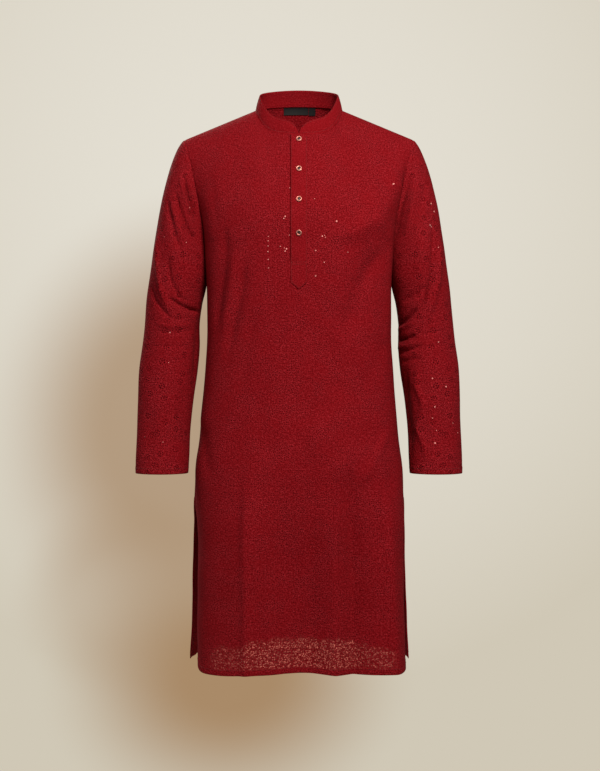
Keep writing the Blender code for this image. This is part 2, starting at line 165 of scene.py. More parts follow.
def addNode(tree, kind, sockets=None, out=0, **settings):
    # one node: settings are its properties; sockets holds values, or outputs to link in
    node = tree.nodes.new("ShaderNode" + kind)
    for name, value in settings.items():
        setattr(node, name, value)
    for key, value in (sockets or {}).items():
        if isinstance(value, bpy.types.NodeSocket):
            tree.links.new(value, node.inputs[key])
        else:
            node.inputs[key].default_value = value
    return node.outputs[out] if node.outputs else node


def newMaterial(name):
    # a material with no nodes yet, and what adds them
    material = bpy.data.materials.new(name)
    material.use_nodes = True
    material.node_tree.nodes.clear()
    return material, partial(addNode, material.node_tree)


cotton = {
    "deep": "3a0206",          # painted shade between the stitches and in the eyelets
    "ground": "8b0c16",        # the woven ground
    "thread": "c03440",        # painted highlight on the crowns of the embroidery thread
    "eyeletLightColour": "f7877d",        # painted light: pale thread ends round the open eyelets, lit through
    "eyeletLightPatchMm": 5.5,             # the painted light gathers in tufts of about this size
    "eyeletLightReachMm": (0.75, 1.35),  # from an eyelet's middle
    "borderPaintedShade": 0.86,       # painted shade: the unbacked border's ground is darker between them
    "cellMm": 3.1,             # scroll cells, each round one small eyelet
    "eyeletMm": 0.72,          # an eyelet's radius
    "openShare": 0.12,         # how much light an open eyelet lets through
    "flowerMm": 31.0,          # spacing of the flowers
    "petalRingMm": 4.6,
    "petals": 7,
    "petalReachMm": (0.8, 1.5),     # from full to bare, off the ring
    "heartMm": (0.9, 1.5),
    "flowerRimMm": 8.4,
    "satinMm": (0.4, 1.3),
    "satin": 0.45,             # height of the satin rim
    "cords": (0.04, 0.24),     # the scrolls' cords, off the cells' borders
    "bareCells": (0.12, 0.20),  # share of the cells with no eyelet
    "wander": (0.11, 4.5),     # the stitches wander: waves per mm, reach in mm
    "worked": (0.45, 1.0),     # how strongly the stitches show, from plain patches to worked ones
    "patchMm": 46.0,
    "grainMm": 3.1,            # clumps of stitches
    "meanHeight": 0.26,        # taken off, so that plain and worked patches keep one tone
    "heights": (-1.9, 1.6),    # of the deepest painted shade and the lightest painted highlight
    "groundTone": 0.55,        # the ground's place between them
    "cast": (0.97, 1.03),      # slow changes of tone over the cloth
    "castPerMm": 0.018,
    "relief": 0.0008,
    "roughness": 0.9,
    "sheen": "b8424a",
}


def embroideredCotton(name, work, flowers):
    # Cotton cambric, woven, then worked all over by a shuttle machine in its own colour. The
    # eye gets a dull, grainy red: raised scrolls that catch light and pinprick eyelets, which
    # are open only where the attribute openwork says so. work is how strongly it shows.
    material, add = newMaterial(name)
    flat = add("UVMap", uv_map="cloth")
    inMm = add("Mapping", {0: flat, "Scale": (1000, 1000, 1000)})
    perMm, reach = cotton["wander"]
    drift = add("TexNoise", {"Vector": inMm, "Scale": perMm, "Detail": 1.0}, out="Color")
    centred = add("VectorMath", {0: drift, 1: (0.5, 0.5, 0.5)}, operation="SUBTRACT")
    wander = add("VectorMath", {0: centred, "Scale": reach}, operation="SCALE")
    sewn = add("VectorMath", {0: inMm, 1: wander}, operation="ADD")

    # flowers in a loose half drop: distance and angle from the nearest flower's middle
    flower = add(
        "TexVoronoi",
        {"Vector": sewn, "Scale": 1 / cotton["flowerMm"], "Randomness": 0.8},
        out="Position", voronoi_dimensions="2D",
    )
    arm = add("VectorMath", {0: sewn, 1: flower}, operation="SUBTRACT")
    armFlat = add("VectorMath", {0: arm, 1: (1, 1, 0)}, operation="MULTIPLY")
    radius = add("VectorMath", {0: armFlat}, out="Value", operation="LENGTH")
    armX = add("SeparateXYZ", {0: armFlat})
    armY = armX.node.outputs[1]
    angle = add("Math", {0: armY, 1: armX}, operation="ARCTAN2")
    turns = add("Math", {0: angle, 1: cotton["petals"]}, operation="MULTIPLY")
    petal = add("Math", {0: turns}, operation="COSINE")
    fromRing = add("Math", {0: radius, 1: cotton["petalRingMm"]}, operation="SUBTRACT")
    offRing = add("Math", {0: fromRing}, operation="ABSOLUTE")
    full, bare = cotton["petalReachMm"]
    nearRing = add("MapRange", {0: offRing, 1: full, 2: bare, 3: 1.0, 4: 0.0})
    onPetal = add("MapRange", {0: petal, 1: 0.0, 2: 0.5})
    ringEyelets = add("Math", {0: nearRing, 1: onPetal}, operation="MULTIPLY")
    full, bare = cotton["heartMm"]
    heart = add("MapRange", {0: radius, 1: full, 2: bare, 3: 1.0, 4: 0.0})
    rim = cotton["flowerRimMm"]
    inFlower = add("MapRange", {0: radius, 1: rim - 0.5, 2: rim + 0.5, 3: 1.0, 4: 0.0})
    flowerRim = add("Math", {0: radius, 1: rim}, operation="SUBTRACT")
    offRim = add("Math", {0: flowerRim}, operation="ABSOLUTE")
    full, bare = cotton["satinMm"]
    satin = add("MapRange", {0: offRim, 1: full, 2: bare, 3: cotton["satin"], 4: 0.0})

    # scrolls between the flowers: raised cords on the borders of cells, one eyelet in each
    scale = 1 / cotton["cellMm"]
    cellWay = add(
        "TexVoronoi", {"Vector": sewn, "Scale": scale, "Randomness": 0.8},
        voronoi_dimensions="2D",
    )
    cellTone = add("SeparateColor", {0: cellWay.node.outputs["Color"]})
    toBorder = add(
        "TexVoronoi", {"Vector": sewn, "Scale": scale, "Randomness": 0.8},
        voronoi_dimensions="2D", feature="DISTANCE_TO_EDGE",
    )
    full, bare = cotton["cords"]
    cords = add("MapRange", {0: toBorder, 1: full, 2: bare, 3: 1.0, 4: 0.0})
    eyeletSize = cotton["eyeletMm"] * scale
    small, wide = eyeletSize * 0.75, eyeletSize * 1.25
    pin = add("MapRange", {0: cellWay, 1: small, 2: wide, 3: 1.0, 4: 0.0})
    none, some = cotton["bareCells"]
    someCells = add("MapRange", {0: cellTone, 1: none, 2: some})
    scattered = add("Math", {0: pin, 1: someCells}, operation="MULTIPLY")
    outside = add("Math", {0: 1.0, 1: inFlower}, operation="SUBTRACT")
    between = add("Math", {0: scattered, 1: outside}, operation="MULTIPLY")
    flowerHoles = add("Math", {0: ringEyelets, 1: heart}, operation="MAXIMUM")
    eyelets = add("Math", {0: flowerHoles, 1: between}, operation="MAXIMUM")
    openwork = add("Attribute", out="Fac", attribute_name="openwork")
    # painted light round the open eyelets: pale, lit-through thread ends, in tufts
    eyeletLightPatches = add("TexNoise", {"Vector": inMm, "Scale": 1 / cotton["eyeletLightPatchMm"], "Detail": 1.5})
    eyeletLightPatchMask = add("MapRange", {0: eyeletLightPatches, 1: 0.44, 2: 0.62, 3: 0.1, 4: 1.0})
    full, bare = [reach * scale for reach in cotton["eyeletLightReachMm"]]
    ends = add("MapRange", {0: cellWay, 1: full, 2: bare, 3: 1.0, 4: 0.0})
    eyeletLightSpots = add("Math", {0: ends, 1: eyeletLightPatchMask}, operation="MULTIPLY")
    rims = add("Math", {0: eyeletLightSpots, 1: openwork}, operation="MULTIPLY")
    core = add("MapRange", {0: eyelets, 1: 0.45, 2: 1.0})
    holes = add("Math", {0: core, 1: openwork}, operation="MULTIPLY")
    opaque = add("Math", {0: holes, 1: -cotton["openShare"], 2: 1.0}, operation="MULTIPLY_ADD")

    # height of the surface: cords and satin rims up, eyelets down, clumps of stitches over all.
    # The real thread is 0.3 mm across; the clumps are drawn as coarse as they need to show.
    grain = add(
        "TexNoise",
        {"Vector": inMm, "Scale": 1 / cotton["grainMm"], "Detail": 3.0, "Roughness": 0.6},
    )
    clumps = add("MapRange", {0: grain, 1: 0.30, 2: 0.70, 3: -1.0, 4: 1.0}, clamp=False)
    rosettes = add("Math", {0: flowerHoles, 1: -flowers}, operation="MULTIPLY")
    pits = add("Math", {0: between, 1: -1.0, 2: rosettes}, operation="MULTIPLY_ADD")
    raised = add("Math", {0: cords, 1: satin}, operation="MAXIMUM")
    level = add("Math", {0: raised, 1: cotton["meanHeight"]}, operation="SUBTRACT")
    sunk = add("Math", {0: pits, 1: level}, operation="ADD")
    patches = add("TexNoise", {"Vector": inMm, "Scale": 1 / cotton["patchMm"], "Detail": 2.0})
    low, high = cotton["worked"]
    worked = add("MapRange", {0: patches, 1: 0.38, 2: 0.62, 3: low, 4: high})
    stitched = add("Math", {0: sunk, 1: worked}, operation="MULTIPLY")
    height = add("Math", {0: clumps, 1: 0.8, 2: stitched}, operation="MULTIPLY_ADD")
    strength = 0.6 * work
    relief = add("Bump", {"Strength": strength, "Distance": cotton["relief"], "Height": height})

    # colour: painted shade deep in the eyelets and between cords, painted highlight on the thread's
    # crowns, random tone from the clumps
    lowest, highest = cotton["heights"]
    tone = add("MapRange", {0: height, 1: lowest / work, 2: highest / work})
    ramp = add("ValToRGB", {0: tone})
    stops = ramp.node.color_ramp.elements
    stops[0].color = linearColour(cotton["deep"])
    stops[1].color = linearColour(cotton["thread"])
    stops.new(cotton["groundTone"]).color = linearColour(cotton["ground"])
    wear = add("TexNoise", {"Vector": inMm, "Scale": cotton["castPerMm"], "Detail": 3.0})
    low, high = cotton["cast"]
    cast = add("MapRange", {0: wear, 1: 0.3, 2: 0.7, 3: low, 4: high})
    # painted shade on the open border's ground
    paintedBorderShade = add("MapRange", {0: openwork, 3: 1.0, 4: cotton["borderPaintedShade"]})
    shaded = add("Math", {0: cast, 1: paintedBorderShade}, operation="MULTIPLY")
    colour = add("VectorMath", {0: ramp, "Scale": shaded}, operation="SCALE")
    # the painted light is mixed over the colour round the open eyelets
    colourWithEyeletLight = add(
        "Mix", {0: rims, 6: colour, 7: linearColour(cotton["eyeletLightColour"])}, out=2, data_type="RGBA"
    )
    shader = add(
        "BsdfPrincipled",
        {
            "Base Color": colourWithEyeletLight, "Normal": relief, "Alpha": opaque,
            "Roughness": cotton["roughness"], "Specular IOR Level": 0.07,
            "Sheen Weight": 0.05, "Sheen Roughness": 0.5,
            "Sheen Tint": linearColour(cotton["sheen"]),
        },
    )
    add("OutputMaterial", {"Surface": shader})
    return material


def simpleFinish(name, dark, light, spotMm, roughness, metallic=0.0, relief=0.0002, sheen=0.0):
    # A finish with small blotches: dark and light mixed by noise of that size, which also
    # roughens the surface a little.
    material, add = newMaterial(name)
    place = add("TexCoord", out="Object")
    spots = add("TexNoise", {"Vector": place, "Scale": 1000 / spotMm, "Detail": 3.0})
    ramp = add("ValToRGB", {0: spots})
    stops = ramp.node.color_ramp.elements
    stops[0].position, stops[1].position = 0.32, 0.68
    stops[0].color, stops[1].color = linearColour(dark), linearColour(light)
    bump = add("Bump", {"Strength": 0.3, "Distance": relief, "Height": spots})
    shader = add(
        "BsdfPrincipled",
        {
            "Base Color": ramp, "Normal": bump, "Roughness": roughness, "Metallic": metallic,
            "Sheen Weight": sheen,
        },
    )
    add("OutputMaterial", {"Surface": shader})
    return material


tape = {
    "colours": ("0e0e10", "202024"),
    "ribScale": 0.2,        # the wave repeats every pi / (10 x scale) mm
    "roughness": 0.55,
}


def labelTape():
    # Damask label tape, woven in black polyester and heat cut: fine ribs and a dull satin glint.
    # Real ribs are 0.3 mm apart; they are drawn 1.6 mm apart, because finer ones don't show.
    material, add = newMaterial("wovenLabelTape")
    flat = add("UVMap", uv_map="cloth")
    inMm = add("Mapping", {0: flat, "Scale": (1000, 1000, 1000)})
    ribs = add(
        "TexWave", {"Vector": inMm, "Scale": tape["ribScale"], "Distortion": 0.4}, out="Fac",
        bands_direction="Y",
    )
    ramp = add("ValToRGB", {0: ribs})
    stops = ramp.node.color_ramp.elements
    stops[0].color, stops[1].color = [linearColour(shade) for shade in tape["colours"]]
    bump = add("Bump", {"Strength": 0.4, "Distance": 0.0002, "Height": ribs})
    shader = add(
        "BsdfPrincipled", {"Base Color": ramp, "Normal": bump, "Roughness": tape["roughness"]}
    )
    add("OutputMaterial", {"Surface": shader})
    return material


finishes = {
    "embroidered": embroideredCotton("embroideredCottonCambric", 1.0, 0.5),
    # the sleeves are cut from its richer border, with deeper flower eyelets that the colour paints
    # darker as shade
    "flowered": embroideredCotton("floweredCottonCambric", 1.1, 2.3),
    # the same cloth pressed over interlining, in the collar and the placket
    "pressed": embroideredCotton("pressedCottonCambric", 0.6, 0.5),
    # polyester sewing thread, twisted and dyed to match: a shade lighter, with a faint gleam
    "thread": simpleFinish(
        "polyesterSewingThread", "5e0a12", "8a1620", 1.5, 0.7, relief=0.0001, sheen=0.05
    ),
    # cast brass plated rose gold and tumbled: warm, bright and softly scratched
    "roseGold": simpleFinish("roseGoldPlatedBrass", "b8655a", "e0a094", 2.0, 0.38, metallic=0.85),
    # polished horn pressed into the ring: almost black, with a soft shine
    "horn": simpleFinish("darkHorn", "150a0a", "3a1614", 1.2, 0.4),
    # sequins, stamped from metallised film: their flashes painted as highlight in a pale pink
    # colour
    "sequin": simpleFinish("metallisedSequinFilm", "ff7a7a", "ffb8b4", 1.0, 0.3, metallic=0.1),
    "label": labelTape(),
}
print("materials made")


def addPiece(name, points, faces, finish, loopUv=None, attributes=None, sharp=None):
    # one object at the origin, from whole arrays of points and faces
    mesh = bpy.data.meshes.new(name)
    mesh.from_pydata(points, [], faces)
    if loopUv is not None:
        mesh.uv_layers.new(name="cloth").data.foreach_set("uv", loopUv.astype(np.float32).ravel())
    for label, values in (attributes or {}).items():
        layer = mesh.attributes.new(label, "FLOAT", "POINT")
        layer.data.foreach_set("value", values.astype(np.float32))
    mesh.shade_smooth()
    if sharp is not None:
        mesh.set_sharp_from_angle(angle=math.radians(sharp))
    mesh.materials.append(finishes[finish])
    piece = bpy.data.objects.new(name, mesh)
    bpy.context.scene.collection.objects.link(piece)
    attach(piece, "root")
    return piece


def addShell(name, outer, inner, uv, facing, finish, ring=False, keep=None, openwork=None):
    # Closes two grids of one size into a thin shell: outer cells, inner cells the other way
    # round, and a rim along every border of the kept cells. A ring joins its last column to
    # its first, and its uv has one column more.
    rows, columns = outer.shape[:2]
    cells = columns if ring else columns - 1
    if keep is None:
        keep = np.ones((rows - 1, cells), dtype=bool)
    i, j = np.nonzero(keep)
    k = (j + 1) % columns

    def corners(wide, beside):
        places = ((i, j), (i + 1, j), (i + 1, beside), (i, beside))
        return np.stack([row * wide + column for row, column in places], 1)

    cell, chart = corners(columns, k), corners(uv.shape[1], j + 1)
    layer = rows * columns
    faces = [cell, cell[:, ::-1] + layer]
    charts = [chart, chart[:, ::-1]]
    padded = np.pad(keep, ((1, 1), (0, 0)))
    padded = np.pad(padded, ((0, 0), (1, 1)), mode="wrap" if ring else "constant")
    for down, over, first, second in ((0, 1, 3, 0), (2, 1, 1, 2), (1, 0, 0, 1), (1, 2, 2, 3)):
        bare = ~padded[down : down + keep.shape[0], over : over + keep.shape[1]][i, j]
        a, b = cell[bare, first], cell[bare, second]
        faces.append(np.stack([a, a + layer, b + layer, b], 1))
        ca, cb = chart[bare, first], chart[bare, second]
        charts.append(np.stack([ca, ca, cb, cb], 1))
    faces, charts = np.concatenate(faces), np.concatenate(charts)
    if facing < 0:
        faces, charts = faces[:, ::-1], charts[:, ::-1]
    used, faces = np.unique(faces, return_inverse=True)
    faces = faces.reshape(-1, 4)
    points = np.concatenate([outer.reshape(-1, 3), inner.reshape(-1, 3)])[used]
    if openwork is None:
        openwork = np.zeros((rows, columns))
    values = np.concatenate([openwork.ravel(), openwork.ravel()])[used]
    loopUv = uv.reshape(-1, 2)[charts.ravel()]
    return addPiece(name, points, faces, finish, loopUv, {"openwork": values}, sharp=65)


stitch = {
    "pitch": 0.0034,
    "long": 0.74,           # of the pitch
    "thick": 0.00034,
    "inset": 0.001,         # inside the turned cloth's edge
    "places": [-0.5, -0.32, 0.32, 0.5],     # along it, and its girth there
    "girths": [0.25, 1.0, 1.0, 0.25],
}


def addStitches(name, lines):
    # Running stitches along lines of (points, normals, closed). Each is a four-sided spindle:
    # a ring of corners at four places along it, narrow at both ends.
    pitch, thick = stitch["pitch"], stitch["thick"]
    places, girths = np.array(stitch["places"]), np.array(stitch["girths"])
    corner = np.arange(4) * math.pi / 2
    roundCos, roundSin = np.cos(corner)[None, :, None], np.sin(corner)[None, :, None]
    bodies = []
    for points, normals, closed in lines:
        if closed:
            points = np.concatenate([points, points[:1]])
            normals = np.concatenate([normals, normals[:1]])
        way = lengthsAlong(points, 0)
        count = max(int(way[-1] / pitch), 1)
        middle = (np.arange(count) + 0.5) * way[-1] / count

        def at(values, where):
            return np.stack([np.interp(where, way, values[:, n]) for n in range(3)], axis=-1)

        centre = at(points, middle)
        forward = unit(at(points, middle + pitch / 4) - at(points, middle - pitch / 4))
        up = unit(at(normals, middle))
        sideways = np.cross(forward, up)
        ring = roundCos * sideways[:, None] + 0.8 * roundSin * up[:, None]
        offsets = (places * pitch * stitch["long"])[None, :, None]
        spine = centre[:, None] + forward[:, None] * offsets
        spine += up[:, None] * thick * 0.25
        bodies.append(spine[:, :, None] + ring[:, None] * (girths * thick)[None, :, None, None])
    points = np.concatenate(bodies)
    count = len(points)
    quads = []
    for section in range(3):
        for k in range(4):
            n = (k + 1) % 4
            a, b = section * 4 + k, section * 4 + n
            quads.append((a, b, b + 4, a + 4))
    quads += [(3, 2, 1, 0), (12, 13, 14, 15)]
    faces = (np.array(quads)[None] + (np.arange(count) * 16)[:, None, None]).reshape(-1, 4)
    return addPiece(name, points.reshape(-1, 3), faces, "thread")


# front and back panels
body = {
    "underarm": -0.250,
    "slitTop": -0.728,
    "hem": -1.036,
    "backHemRise": 0.041,      # the back hem hangs higher in the middle
    "hemCorner": (0.016, 0.72),    # rise of the front's corners, and the share where it starts
    "backHemFlat": (0.86, 0.8),    # level past this share, with this much of the rise gone
    "pleatGrowth": 0.18,           # a pleat grows to its height over this
    "neckHalf": 0.082,
    "neckFront": (-0.078, -0.057),  # y and z of the neckline's middle
    "neckBack": (0.057, 0.019),
    "shoulder": (0.214, 0.008, -0.053),
    "neckShare": 6 / 14,       # of a panel's width at its top
    "neckSweep": (0.14, 0.12, 60),  # relaxed beside the neck points: reach, fading in, rounds
    "armholeShare": 0.45,
    "neckCells": 28,
    "shoulderCells": 36,
    "upperRows": 80,
    "firstRow": 0.994,         # rise of the row under the top edge
    "rowStep": 0.0031,
    "lastRow": 0.0009,         # above the hem's edge
    "lastColumn": 0.9955,      # beside the side seam
    "clothThick": 0.0011,
    "turnedThick": 0.0021,
    "turnUp": 0.0115,
    "slitTurn": 0.0085,
    "slitOver": 0.004,         # the slit's turned edge starts this much over its top
    "sideFade": (0.014, 0.04),  # folds fade this near a side seam, until this far down the slit
    "topFade": 0.05,           # swells fade over this under the top edge
    "turnStep": 0.0016,        # the turned cloth ends over this
    "turnStand": 0.0004,       # and stands out by this
    "pucker": (0.0003, 0.006),  # ripples along the hem's stitching: height, reach
    "puckerWave": 0.012,
    "cutEdge": 0.0004,         # the cloth is thin this near a free edge
    "seamDip": 0.0008,
    "seamReach": 0.0014,
    "slitHalf": 0.0010,        # the neck slit under the placket
    "slitLength": 0.240,
}
bodySections = {
    "z": [
        -0.250, -0.330, -0.400, -0.470, -0.540, -0.610,
        -0.670, -0.728, -0.800, -0.880, -0.960, -1.036,
    ],
    # 2 is an ellipse; the front hangs flatter below the slits' tops
    "frontSquare": [2.5] * 6 + [2.55, 2.7, 2.9, 3.1, 3.2, 3.2],
    "backSquare": [2.5] * 12,
    "frontHalf": [
        0.177, 0.172, 0.171, 0.174, 0.180, 0.186, 0.193, 0.1955, 0.1935, 0.192, 0.191, 0.190,
    ],
    "backHalf": [
        0.177, 0.172, 0.171, 0.174, 0.180, 0.186, 0.193, 0.1965, 0.200, 0.202, 0.204, 0.208,
    ],
    "frontEdge": [0.0] * 8 + [0.006, 0.012, 0.018, 0.024],
    "backEdge": [0.0] * 8 + [0.005, 0.009, 0.013, 0.016],
    "frontOut": [
        0.126, 0.124, 0.119, 0.116, 0.116, 0.120, 0.123, 0.121, 0.117, 0.113, 0.110, 0.109,
    ],
    "backOut": [
        0.118, 0.112, 0.104, 0.100, 0.103, 0.109, 0.114, 0.116, 0.117, 0.117, 0.117, 0.118,
    ],
}
# how the columns leave the underarm's level and reach the top edge: sideways, out, up
pulls = {
    "chest": (0.0, 0.008, 0.215),
    "armhole": (-0.012, 0.165, 0.100),
    "frontNeck": (0.0, -0.065, 0.185),
    "backNeck": (0.0, -0.065, 0.150),
    "shoulder": (0.014, -0.190, 0.020),
}
# waves of the front hem's line: middle, width, rise
hemWaves = [(-0.37, 0.14, 0.0035), (0.06, 0.30, 0.004), (0.70, 0.20, 0.002)]
# the openwork border over the front's turned hem
border = {
    "middle": 0.007,
    "height": 0.067,
    "falls": [(0.011, 0.088, 0.015), (0.020, 0.145, 0.035)],    # by, from, over
    "ripples": [(0.0025, 0.052, 0), (0.0020, 0.023, 1)],        # height, wave, turn
    "fade": 0.008,
    "sparse": (0.4, 0.085, 0.030),      # sparser by, from, over
    "end": (0.155, 0.022),              # it ends from, over
}
# folds, in mm: width, depth, crest (a share), and the line in x and z
frontFolds = [
    # drawn from the right armhole, down to the waist
    (16, -6.5, 0.5, [(-135, -206), (-135, -270), (-144, -342), (-154, -432)]),
    (12, 3.5, 0.6, [(-113, -253), (-124, -342), (-140, -441)]),
    (14, -6, 0.5, [(-93, -274), (-104, -333), (-117, -396), (-135, -479)]),
    (16, -2.5, 0.7, [(-77, -360), (-92, -450), (-109, -540)]),
    (9, -1.5, 0.7, [(-163, -127), (-153, -190), (-147, -253)]),
    # the chest stands out over the waist, and the cloth hangs back from the left armhole
    (50, 3.8, 0.9, [(-138, -191), (-66, -204), (2, -206), (70, -195), (120, -166)]),
    (28, 9.5, 0.7, [(190, -75), (172, -150), (140, -213), (95, -240), (41, -254)]),
    (26, -9, 0.7, [(172, -245), (140, -288), (112, -335), (90, -400), (84, -455)]),
    (12, 3, 0.6, [(174, -191), (167, -270), (162, -378), (156, -468)]),
    (16, -2, 0.7, [(167, -414), (138, -477), (110, -540)]),
    # hips: the cloth stands out, then breaks into the skirt's pleats
    (45, 6, 0.9, [(-5, -576), (56, -626), (95, -694)]),
    (16, 4.5, 0.4, [(167, -585), (138, -644), (99, -705)]),
    (24, -5, 0.6, [(178, -639), (153, -702), (135, -827)]),
    (15, -4, 0.8, [(-181, -574), (-172, -636), (-158, -692)]),
    (22, -1.8, 0.9, [(-88, -513), (-63, -594), (-48, -666)]),
    (22, -1.5, 0.9, [(49, -414), (67, -486), (63, -558)]),
]
backFolds = [
    # between the shoulder blades and down from the armholes
    (16, -4.5, 0.5, [(-150, -190), (-138, -260), (-120, -340), (-112, -400)]),
    (14, 3, 0.6, [(-135, -170), (-120, -230), (-98, -290)]),
    (15, -4.5, 0.5, [(152, -185), (142, -250), (126, -320), (108, -385)]),
    (13, 2.5, 0.6, [(132, -195), (120, -270), (100, -340)]),
    (26, -1.8, 0.9, [(-100, -50), (-70, -110), (-62, -170)]),
    # slack across the small of the back
    (15, -4.5, 0.5, [(-150, -330), (-100, -372), (-40, -396)]),
    (13, 3.5, 0.6, [(-140, -375), (-80, -410), (-15, -425)]),
    (15, -4.5, 0.5, [(155, -345), (105, -395), (40, -430)]),
    (13, -3.5, 0.5, [(150, -410), (95, -450), (10, -470)]),
    (14, 3, 0.6, [(130, -385), (80, -420), (25, -452)]),
    (20, -3, 0.7, [(-130, -450), (-80, -490), (-40, -560)]),
    (30, -3.5, 0.8, [(155, -540), (115, -620), (92, -720)]),
    (12, -4, 0.5, [(-180, -600), (-168, -660), (-150, -720)]),
    (40, 5, 0.9, [(-30, -600), (-60, -660), (-75, -730)]),
]
# pleats of the skirt, in mm: x at the slit's top, x at the hem, the level of its start, height
frontPleats = [
    (-200, -210, -640, -8),
    (-104, -104, -660, 16.5),
    (-94, -94, -640, 24.5),
    (-28, -26, -690, -8),
    (4, 1, -720, -12),
    (27, 23, -720, -10),
    (64, 65, -640, 10.5),
    (96, 99, -620, -13),
    (152, 166, -600, 25),
    (200, 205, -620, -5.5),
]
backPleats = [
    (-205, -220, -660, -3),
    (-155, -160, -700, -4),
    (-96, -104, -600, 11),
    (-40, -36, -640, -7),
    (0, 4, -680, -1),
    (46, 50, -560, 10),
    (108, 116, -640, -7),
    (160, 172, -680, 4),
    (205, 220, -660, -3),
]


def levelSections(side, heights, across):
    # A half superellipse from side edge to side edge at each height,
    # |x / half|^p + |(y - edge) / (out - edge)|^p = 1, with its points placed by length.
    name = "front" if side < 0 else "back"
    half, edge, out, square = [
        readTable(bodySections, name + part, heights)[:, None]
        for part in ("Half", "Edge", "Out", "Square")
    ]
    turn = np.linspace(math.pi, 0.0, 241)
    x = half * np.sign(np.cos(turn)) * np.abs(np.cos(turn)) ** (2 / square)
    y = side * (edge + (out - edge) * np.maximum(np.sin(turn), 0) ** (2 / square))
    along = lengthsAlong(np.stack([x, y], axis=-1), 1)
    wanted = (across + 1) / 2 * along[:, -1:]
    z = np.broadcast_to(heights[:, None], wanted.shape)
    return np.stack([readRows(wanted, along, x), readRows(wanted, along, y), z], axis=-1)


def topEdge(side, across):
    # a quarter turn of neckline each side of the middle, then the straight shoulder seam
    share = np.abs(across)
    swing = np.clip(share / body["neckShare"], 0, 1) * math.pi / 2
    neckY, neckZ = body["neckFront"] if side < 0 else body["neckBack"]
    lift = 1 - np.sin(swing) ** 4.5 if side < 0 else np.cos(swing)
    q = np.clip((share - body["neckShare"]) / (1 - body["neckShare"]), 0, 1)
    reach, back, drop = body["shoulder"]
    half = body["neckHalf"]
    x = np.where(across < 0, -1, 1) * (half * np.sin(swing) + q * (reach - half))
    return np.stack([x, neckY * np.cos(swing) + q * back, neckZ * lift + q * drop], axis=-1)


def panelSurface(side, across, rise, heights):
    # Above the underarm each column is one cubic from the top edge (rise 1) to the underarm
    # level (rise 0), and below it a stack of level sections, bent to the hem's own line.
    share = np.abs(across)
    sign = np.where(across < 0, -1.0, 1.0)
    chest = levelSections(side, np.array([body["underarm"]]), across)[0]
    toArmhole = ease((share - body["armholeShare"]) / (1 - body["armholeShare"]))[:, None]
    toShoulder = np.clip(share / body["neckShare"], 0, 1)[:, None] ** 2

    outward = np.stack([sign, np.full_like(share, side), np.ones_like(share)], axis=-1)
    chestPull, armholePull, neckPull, shoulderPull = [
        outward * pulls[name]
        for name in ("chest", "armhole", "frontNeck" if side < 0 else "backNeck", "shoulder")
    ]
    startPull = chestPull + toArmhole * (armholePull - chestPull)
    endPull = neckPull + toShoulder * (shoulderPull - neckPull)
    upper = hermite(chest, startPull, topEdge(side, across), endPull, rise[:, None, None])
    points = np.concatenate([upper, levelSections(side, heights, across)])
    # below the neck points the rows are relaxed into one sweep
    reach, over, rounds = body["neckSweep"]
    near = np.exp(-(((share - body["neckShare"]) / reach) ** 2)) * (share < 0.9)
    fromTop = np.concatenate([1 - rise, np.ones(len(heights))])
    soft = (near * ease(fromTop[:, None] / over))[..., None]
    for _ in range(rounds):
        mean = (points[:, :-2] + 2 * points[:, 1:-1] + points[:, 2:]) / 4
        points[:, 1:-1] += soft[:, 1:-1] * (mean - points[:, 1:-1])

    if side < 0:
        high, start = body["hemCorner"]
        line = high * np.clip((share - start) / (1 - start), 0, 1) ** 2
        for middle, width, rises in hemWaves:
            line = line + rises * np.exp(-(((across - middle) / width) ** 2))
    else:
        flat, fallen = body["backHemFlat"]
        line = body["backHemRise"] * (1 - fallen * np.clip(share / flat, 0, 1) ** 3)
    drop = (body["slitTop"] - points[..., 2]) / (body["slitTop"] - body["hem"])
    points[..., 2] += ease(drop) * line
    return points


def turnedIn(fromEdge, turn):
    # 1 where the cloth is turned in at an edge, 0 past the turn
    return 1 - ease((fromEdge - turn) / body["turnStep"])


def puckers(u, fromHem, turnUp, wave):
    # ripples of the turned hem along its stitching
    high, reach = body["pucker"]
    return high * np.sin(2 * math.pi * u / wave) * np.exp(-(((fromHem - turnUp) / reach) ** 2))


def clothFaces(points, normals, turned, shift, fromCut):
    # the outer and inner face of a cloth: double where it is turned in, thin at its free edges
    thick = body["clothThick"] + (body["turnedThick"] - body["clothThick"]) * turned
    outer = points + normals * (body["turnStand"] * turned + shift)[..., None]
    thin = 1 - 0.6 * (fromCut < body["cutEdge"])
    outer -= normals * (thick * (1 - thin) / 2)[..., None]
    return outer, outer - normals * (thick * thin)[..., None]


def bothFaces(middle, normals, thick):
    # half the thickness out, and half in
    return middle + normals * (thick / 2)[..., None], middle - normals * (thick / 2)[..., None]


def borderWork(x, u, fromHem):
    # how open the border is: lower and sparser towards the sides, with a rippled top
    aside = np.abs(x - border["middle"])
    top = border["height"]
    for by, start, over in border["falls"]:
        top = top - by * ease((aside - start) / over)
    for high, wave, turn in border["ripples"]:
        top = top + high * np.sin(2 * math.pi * u / wave + turn)
    by, start, over = border["sparse"]
    last, fade = border["end"]
    strength = (1 - by * ease((aside - start) / over)) * (1 - ease((aside - last) / fade))
    return ease((top - fromHem) / border["fade"]) * strength


